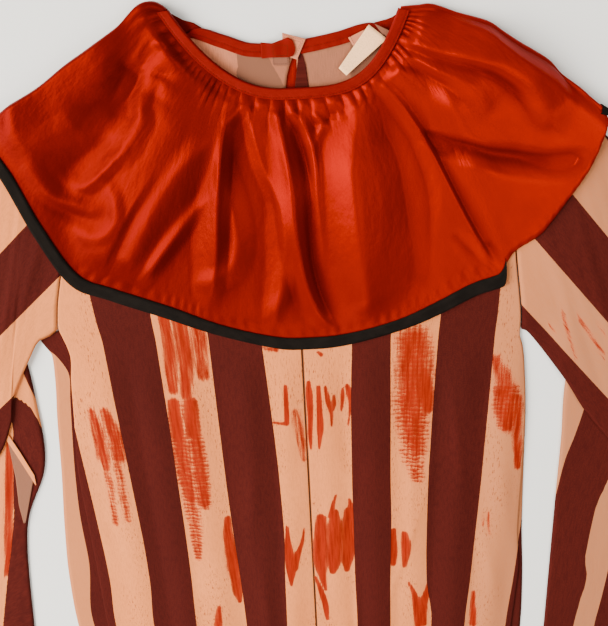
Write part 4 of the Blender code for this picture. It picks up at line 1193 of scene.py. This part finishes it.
def fold_height(flat):
    """Height of the ruffle's folds at each point of its front half, laid out as flat[share, depth]."""
    shares, depths = np.linspace(0, 1, flat.shape[0]), DEPTHS
    broad, small = np.zeros(flat.shape[:2]), np.zeros(flat.shape[:2])
    for rounded, *crest in RUFFLE_FOLDS:
        line = curve(crest, 8)
        column = np.interp(line[:, 0], shares, np.arange(len(shares)))
        row = np.interp(line[:, 1], depths, np.arange(len(depths)))
        i = np.minimum(column.astype(int), len(shares) - 2)
        j = np.minimum(row.astype(int), len(depths) - 2)
        across, down = (column - i)[:, None], (row - j)[:, None]
        spots = ((1 - across) * (1 - down) * flat[i, j] + across * (1 - down) * flat[i + 1, j]
                 + (1 - across) * down * flat[i, j + 1] + across * down * flat[i + 1, j + 1])
        reach = 3.2 * line[:, 3:].max()
        low, high = spots.min(axis=0) - reach, spots.max(axis=0) + reach
        near = ((flat > low) & (flat < high)).all(axis=-1)
        height = crest_height(flat[near], spots, line[:, 2:], rounded)
        if max(tall for b, v, tall, left, right in crest) > BROAD:
            broad[near] += height ** SOFTENED
        else:
            small[near] += 0.85 * height
    from_seam = 0.3 + 0.3 * ease((shares - 0.4) / 0.03) + 0.15 * ease((shares - 0.7) / 0.05)
    swell = from_seam[:, None] + (1 - from_seam)[:, None] * ease((depths - 0.04) / 0.28)
    return broad ** (1 / SOFTENED) * swell + small


def crest_height(points, spots, sizes, rounded):
    """Height at some points beside one crest; sizes are its height and two half widths at each spot."""
    gap, nearest, share = beside(points, spots)
    run, to = np.diff(spots, axis=0)[nearest], points - spots[nearest]
    t = share[:, None]
    tall, left, right = (sizes[nearest] * (1 - t) + sizes[nearest + 1] * t).T
    side = (run[:, 0] * to[:, 1] - run[:, 1] * to[:, 0]) / np.maximum(np.hypot(*run.T), 1e-6)
    lean = 0.5 + 0.5 * np.clip(side / 1.5, -1, 1)
    wide = left * (1 - lean) + right * lean
    slope = np.hypot(gap / (1.5 * wide), rounded) - rounded
    return tall * np.maximum(1 - slope, 0) ** 1.3


def gathers(b, v):
    """Small uneven gathers that run out from the neck seam, and puckers above the trim."""
    phase = GATHERS * b + 0.9 * wander(b, 3, 9)
    size = 2.6 + 1.6 * wander(b, 4, 13)
    reach = 0.15 + 0.09 * wander(b, 5, 12)
    fade = 1 - ease((v - 0.03) / np.maximum(reach, 0.06))
    lines = size * np.abs(np.sin(math.pi * phase)) ** 0.8 * fade
    edge_phase = 62 * b + 1.2 * wander(b, 6, 9)
    edge_size = (0.45 + 0.6 * wander(b, 9, 23)) * ease((b - 0.18) / 0.06)
    edge_reach = 0.045 + 0.03 * wander(b, 10, 31)
    near_trim = ease((v - (0.93 - edge_reach)) / 0.03) * (1 - ease((v - 0.935) / 0.012))
    return lines + np.maximum(edge_size, 0.0) * np.sin(2 * math.pi * edge_phase) * near_trim


def ruffle_roll(b):
    """How much the ruffle's edge curls under, which it does only along its right side."""
    return ease((b - ROLL_START) / 0.03) * (1 - ease((b - ROLL_END) / (1 - ROLL_END)))


def on_shoulder(flat, weight, side):
    """Rays moved so that the ones at a shoulder follow its outline. weight[share] is 1 at the fold."""
    line = along(curve(SHOULDER_LEFT if side < 0 else SHOULDER_RIGHT), DEPTHS)
    at_fold = flat[np.argmax(weight)]
    return flat + weight[:, None, None] * (line - at_fold)[None]


def ruffle_front_grid():
    """Points of the front half, from the left shoulder fold to the right, from the neck outward."""
    b = np.linspace(0, 1, FRONT_COLUMNS)
    neck, out = neck_line(front_neck, *NECK_ENDS, through(b, GATHERING))
    edge = along(curve(RUFFLE_FRONT), b)
    flat = rays(neck, out, edge, SQUARE_OUT[0] + SQUARE_OUT[1] * np.sin(math.pi * b), DEPTHS)
    folds = fold_height(flat)
    flat = on_shoulder(flat, (1 - ease(b / NEAR_SHOULDER)), -1)
    flat = on_shoulder(flat, (1 - ease((1 - b) / NEAR_SHOULDER)), 1)
    bb, vv = np.meshgrid(b, DEPTHS, indexing="ij")
    from_neck = np.linalg.norm(flat - neck[:, None, :], axis=-1)
    held = 1 - 0.92 * ease((vv - 0.80) / 0.14)
    base = ruffle_floor(flat[..., 0], flat[..., 1])
    loose = ease((from_neck - HELD_FLAT + 1) / 10)
    lifted = (4 + 7 * (1 - ease((vv - 0.55) / 0.33))) * ease((vv - 0.12) / 0.3)
    lifted *= ease((bb - 0.745) / 0.09) * (1 - ease((bb - 0.975) / 0.025))
    above = folds * held * loose + lifted + gathers(bb, vv) * ease((from_neck - 6) / 4)
    z = base + np.maximum(above, -1.5) + 0.5
    z += 8 * ease((0.17 - bb) / 0.17) * ease((vv - 0.1) / 0.3) * held
    return rolled_edge(flat, z, neck, edge, b)


def rolled_edge(flat, z, neck, edge, b):
    """The front half's grid, whose right side turns back under itself with its trim."""
    bb, vv = np.meshgrid(b, DEPTHS, indexing="ij")
    roll = ruffle_roll(b)[:, None]
    turned = np.clip((vv - 0.90) / 0.06, 0, 1)
    wider = 0.1 + 1.3 * ease((bb - 0.80) / 0.06)
    longer = TRIM_SHARE * wider * ease((vv - 0.45) / 0.44)
    fuller = flat + ((edge - neck)[:, None, :] * longer[..., None])
    inward = (neck - edge) / np.linalg.norm(neck - edge, axis=1, keepdims=True)
    tucked = 11 * turned ** 1.3 + 330 * np.maximum(vv - 0.93, 0)
    under = fuller + tucked[..., None] * inward[:, None, :]
    flat = flat * (1 - roll[..., None]) + under * roll[..., None]
    floor = ruffle_floor(flat[..., 0], flat[..., 1])
    down = np.maximum(floor + 1.0, z - 4.6 * np.sqrt(turned))
    z = z * (1 - roll) + down * roll
    return np.dstack([flat, z[..., None]])


def ruffle_back_grid(side):
    """Points of one back half, from its shoulder fold to the opening and from the neck outward."""
    share = np.linspace(0, 1, BACK_COLUMNS)
    meet = (RUFFLE_BACK_LEFT if side < 0 else RUFFLE_BACK_RIGHT)[-1][0]
    last = (meet - NECK_X) / (NECK_HALF + NECK_SPREAD * TUCK)
    neck, out = neck_line(back_neck, NECK_ENDS[side > 0], last, share)
    edge = along(curve(RUFFLE_BACK_LEFT if side < 0 else RUFFLE_BACK_RIGHT), share)
    flat = rays(neck, out, edge, SQUARE_OUT[0] + SQUARE_OUT[1] * share, DEPTHS)
    flat = on_shoulder(flat, 1 - ease(share / 0.35), side)
    ss, vv = np.meshgrid(share, DEPTHS, indexing="ij")
    wave = 0.15 * (1 - np.cos(2 * math.pi * 7 * ss)) * ease((vv - 0.06) / 0.1)
    z = TAPE + LIES + SATIN - 0.4 + wave
    return np.dstack([flat, z[..., None]])


def turn_over(front, back):
    """Rows that carry the ruffle round a shoulder fold, from the front's edge to the back's."""
    flat = front[:, :2]
    run = np.gradient(flat, axis=0)
    away = np.stack([-run[:, 1], run[:, 0]], -1) / np.linalg.norm(run, axis=1, keepdims=True)
    away *= np.sign(away[0, 1])
    reach = (front[:, 2] - back[:, 2]) / 2
    middle = (front[:, 2] + back[:, 2]) / 2
    rows = []
    for turn in TURNS:
        c, s = math.cos(math.radians(turn)), math.sin(math.radians(turn))
        share = turn / 180
        at = flat * (1 - share) + back[:, :2] * share + away * (0.38 * s * reach)[:, None]
        rows.append(np.column_stack([at, middle + c * reach]))
    return np.array(rows)


def hollows(z):
    """How far each point of a grid of heights lies below the points around it, 0 to 1; the satin's
    painted shade follows it.
    """
    soft = z
    for axis, reach in ((0, 9), (1, 5)):
        share = np.ones(2 * reach + 1) / (2 * reach + 1)
        soft = np.apply_along_axis(
            lambda row: np.convolve(np.pad(row, reach, mode="edge"), share, "valid"), axis, soft)
    return np.clip((soft - z) / 3, 0, 1)


def ruffle():
    """The satin strip and its black trim, from the opening in the back round both shoulders."""
    left, front, right = ruffle_back_grid(-1), ruffle_front_grid(), ruffle_back_grid(1)
    over_left = turn_over(front[0], left[0])[::-1]
    over_right = turn_over(front[-1], right[0])
    grid = np.vstack([left[::-1], over_left, front, over_right, right])
    step = np.linalg.norm(np.diff(grid[:, -1], axis=0), axis=-1)
    u = np.r_[0, np.cumsum(step)]
    v = np.r_[0, np.cumsum(np.linalg.norm(np.diff(grid[len(grid) // 2], axis=0), axis=-1))]
    cloth = np.stack(np.meshgrid(u / 1000, v / 1000, indexing="ij"), -1)
    # the hollows carry the painted shade of the satin's folds
    satin_piece = cloth_sheet("ruffle_satin", grid, cloth, ["satin"], ["ruffle"],
                              wall=THIN_SATIN, attributes={"painted_hollow_shade": hollows(grid[..., 2]).ravel()})
    out = normals(grid)
    keep = [k for k, depth in enumerate(DEPTHS) if depth > 1 - TRIM_SHARE - 1e-6]
    band = grid[:, keep] + out[:, keep] * 0.9
    trim = cloth_sheet("trim_band", band, cloth[:, keep], ["trim"], ["ruffle_trim"], wall=0.5)


# ---------------------------------------------------------------- neck binding

TAPE_FOLD = 1.2    # how far in from its edge a folded tape is rounded


def binding(name, node, neck, first, last, levels, puckers, wide, stitch_at):
    """A tape folded round the neck edge from s = first to s = last, rounded at its fold, held by a row
    of stitches. levels gives the heights of its two sides, wide its width on each side."""
    s = np.linspace(first, last, puckers * 6)
    start, end = neck(s, 0.0), neck(s, BINDING)
    out = (end - start) / np.linalg.norm(end - start, axis=1, keepdims=True)
    low, high = levels(start[:, 0])
    middle, half = (low + high) / 2, (high - low) / 2
    grid, cloth = [], []
    run = np.r_[0, np.cumsum(np.linalg.norm(np.diff(start, axis=0), axis=-1))]
    ways = [(wide - d, -1) for d in np.linspace(0.2, wide - TAPE_FOLD, 8)]
    ways += [(TAPE_FOLD - TAPE_FOLD * math.sin(a), -math.cos(a)) for a in np.linspace(0, math.pi, 9)]
    ways += [(d, 1) for d in np.linspace(1.6, wide - 0.2, 18)]
    length = 0
    last_way = ways[0]
    for way in ways:
        d, lift = way
        length += abs(d - last_way[0]) + 1.5 * abs(lift - last_way[1])
        last_way = way
        dent = 0.35 * np.exp(-((d - stitch_at) / 0.8) ** 2) if lift > 0 else 0
        rise = 0.14 * np.sin(run / 1.35) * ease((d - 3) / 5) if lift > 0 else 0
        z = middle + lift * half - dent + rise
        grid.append(np.column_stack([start + out * d, z]))
        cloth.append(np.column_stack([run / 1000, np.full(len(run), length / 1000)]))
    grid, cloth = np.array(grid), np.array(cloth)
    if first > last:
        grid, cloth = grid[:, ::-1], cloth[:, ::-1]
    piece = cloth_sheet(name, grid, cloth, ["binding"], [node], wall=0.4)
    row = np.column_stack([start + out * stitch_at, middle + half - 0.05])
    thread = stitches(name + "_stitches", row, 2.6, 0.26, "red_thread")


ON_PANEL = BACK_RISE + CLOTH + LIES    # level of what lies on the back panels at the neck
ON_BINDING = ON_PANEL + TAPE + SEAM    # and of what lies on the back binding


def box_of(corners, level):
    """A closed line through four corners, at one height."""
    return [(*corner, level) for corner in [*corners, corners[0]]]


def closure():
    """Two squares of hook tape and the binding's stitched end, which close the neck over the opening."""
    low = [(-11.3, 263.6), (-10.3, 262.7), (1.0, 262.4), (1.8, 263.2)]
    high = [(-11.5, 269.5), (-10, 269.5), (1, 269.5), (1.9, 269.5)]
    cover = patch("tape_left_piece", low, high, ON_PANEL + 0.3, "clear_tape", ["tape_left"], 0.3)
    row = [(-10.4, 269, 5.2), (-10.4, 263.8, 5.2), (0.8, 263.6, 5.2), (0.9, 269, 5.2)]
    thread = stitches("tape_left_stitches", row, 1.5, 0.16, "dark_thread")

    corners = [(-3.0, 270.5), (8.6, 266.4), (16.2, 281.6), (-2.4, 287.0)]
    square = patch("tape_right_piece", corners[:2], corners[:1:-1], ON_BINDING + 0.3, "tape",
                   ["tape_right"], 0.35)
    rows = [[(-1.4, 285.3), (14.2, 280.6), (7.6, 268.6)], [(-1.6, 283.7), (12.5, 279.4), (6.6, 269.4)]]
    threads = [stitches("tape_right_stitches_%d" % k, [(*at, ON_BINDING + 0.5) for at in row], 1.5, 0.17,
                        "dark_thread") for k, row in enumerate(rows)]

    level = ON_BINDING + 1.3
    low = [(-20, 268.4), (-11, 269.0), (2.2, 268.6), (5.6, 269.6), (7.2, 272.2), (7.6, 275.6)]
    high = [(-20, 280.6), (-11, 279.4), (-5.5, 281.2), (2.0, 283.4), (5.8, 281.2), (7.6, 275.7)]
    tab = patch("closure_tab_piece", low, high, level, "binding", ["closure_tab"], 0.8,
                lift=lambda x, y: 0.25 * np.sin(x / 1.9) - 0.9 * (1 - ease((x + 20) / 9)))
    row = box_of([(-10.4, 270.4), (1.2, 270.0), (1.6, 277.6), (-10.2, 278.2)], level + 0.55)
    thread = stitches("closure_tab_stitches", row, 1.6, 0.2, "dark_thread")


def labels():
    """The blank care label sewn in at the neck, the end of a second one, and a clear hanging loop."""
    label = patch("care_label_piece", [(41.9, 258.6), (48.1, 252.9)], [(66.2, 290.0), (80.8, 279.0)],
                  ON_BINDING + 0.9, "label", ["care_label"], 0.25,
                  lift=lambda x, y: 1.3 * ease((262 - y) / 14) + 0.25 * np.sin((x + y) / 9))
    second = patch("second_label", [(50.0, 281.0), (53.4, 275.4), (55.5, 274.5)],
                   [(62.3, 286.2), (64, 283), (65, 281)], ON_BINDING + 0.4, "tape", wall=0.25)
    row = [(51.6, 282.0, ON_BINDING + 0.6), (54.9, 276.2, ON_BINDING + 0.6)]
    thread = stitches("second_label_stitches", row, 1.5, 0.17, "dark_thread")
    loop = patch("hanging_loop", [(76.0, 283.5), (84.5, 277.5)], [(70.5, 290.5), (85.5, 283.5)],
                 ON_BINDING + 0.2, "clear_tape", wall=0.3)


def front_levels(x):
    """Heights of the front binding's lower and upper side."""
    low = binding_floor(x) + 0.3
    return low, low + TAPE + SEAM + CLOTH + RUFFLE_CLEARANCE + SATIN + 1.7


def back_levels(x):
    """The same of a back binding."""
    return 0.3 + 0 * x, ON_PANEL + 0.3 + 0 * x


# ---------------------------------------------------------------- light and camera

CAMERA = (35.6, 313.3, 567.0)
CAMERA_RIGHT = (0.9984, -0.0446, -0.0345)
CAMERA_UP = (0.0249, 0.8972, -0.4410)
CAMERA_BACK = (0.0506, 0.4395, 0.8968)
FOCAL_PIXELS = 650.0
LONG_SIDE_PIXELS = 626.0
LIGHT_COLOUR = (1.0, 0.84, 0.68)
SKY_COLOUR, SKY_STRENGTH = (1.0, 0.86, 0.72), 0.26
FLOOR_COLOUR = (0.76, 0.86, 0.96)
LIGHTS = [  # name, where it stands and where it points, its size in metres and its power in watts
    ("window", (-2150, 230, 1700), (0, -60, 0), (2.2, 2.1), 285),
    ("lamp", (-500, -2100, 1500), (0, -100, 0), (1.5, 1.5), 30),
    ("right_lamp", (1000, 60, 1500), (0, 0, 0), (1.1, 1.1), 24),
]


def camera():
    """A camera over the collar, with its place and directions in the suit's own frame."""
    eye = bpy.data.cameras.new("camera")
    eye.sensor_width = 36.0
    eye.lens = 36.0 * FOCAL_PIXELS / LONG_SIDE_PIXELS
    eye.clip_start = 0.01
    holder = bpy.data.objects.new("camera", eye)
    bpy.context.scene.collection.objects.link(holder)
    turn = Matrix((CAMERA_RIGHT, CAMERA_UP, CAMERA_BACK)).transposed()
    holder.matrix_world = Matrix.Translation(place(CAMERA)) @ turn.to_4x4()
    bpy.context.scene.camera = holder


def area_light(name, at, aim, size, power):
    """A rectangular lamp that stands at one point and shines towards another."""
    lamp = bpy.data.lights.new(name, "AREA")
    lamp.shape = "RECTANGLE"
    lamp.size, lamp.size_y = size
    lamp.energy = power
    lamp.color = LIGHT_COLOUR
    holder = bpy.data.objects.new(name, lamp)
    bpy.context.scene.collection.objects.link(holder)
    holder.location = place(at)
    holder.rotation_euler = (place(aim) - place(at)).to_track_quat("-Z", "Y").to_euler()


def studio():
    """Soft light from the left, two weaker lamps, and a pale paper floor."""
    world_look = bpy.data.worlds.new("studio")
    world_look.use_nodes = True
    back = world_look.node_tree.nodes["Background"]
    back.inputs["Color"].default_value = (*SKY_COLOUR, 1)
    back.inputs["Strength"].default_value = SKY_STRENGTH
    bpy.context.scene.world = world_look
    for light in LIGHTS:
        area_light(*light)
    bpy.ops.mesh.primitive_plane_add(size=12, location=(0, 0, -0.0004))
    floor = bpy.context.object
    floor.name = "floor"
    made, tree, shader = new_material("floor_paper", FLOOR_COLOUR, 0.9)
    bump(tree, shader, noise(tree, on_object(tree), 90, 3.0), 0.05)
    floor.data.materials.append(made)


# ---------------------------------------------------------------- everything

camera()
front_panel("front_left", -1)
front_panel("front_right", 1)
back_panel("back_left", -1)
back_panel("back_right", 1)
sleeve("sleeve_left", SLEEVE_LEFT, PAINT_ON_SLEEVE_LEFT)
sleeve_left_fold()
sleeve("sleeve_right", SLEEVE_RIGHT, PAINT_ON_SLEEVE_RIGHT)
ruffle()
binding("binding_front_tape", "binding_front", front_neck, *NECK_ENDS, front_levels, 60, 8.8, 7.2)
binding("binding_back_left_tape", "binding_back_left", back_neck, NECK_ENDS[0],
        (-6.0 - NECK_X) / NECK_HALF, back_levels, 24, BINDING, 6.2)
binding("binding_back_right_tape", "binding_back_right", back_neck, (10.4 - NECK_X) / NECK_HALF,
        NECK_ENDS[1], back_levels, 24, BINDING, 6.2)
closure()
labels()
studio()
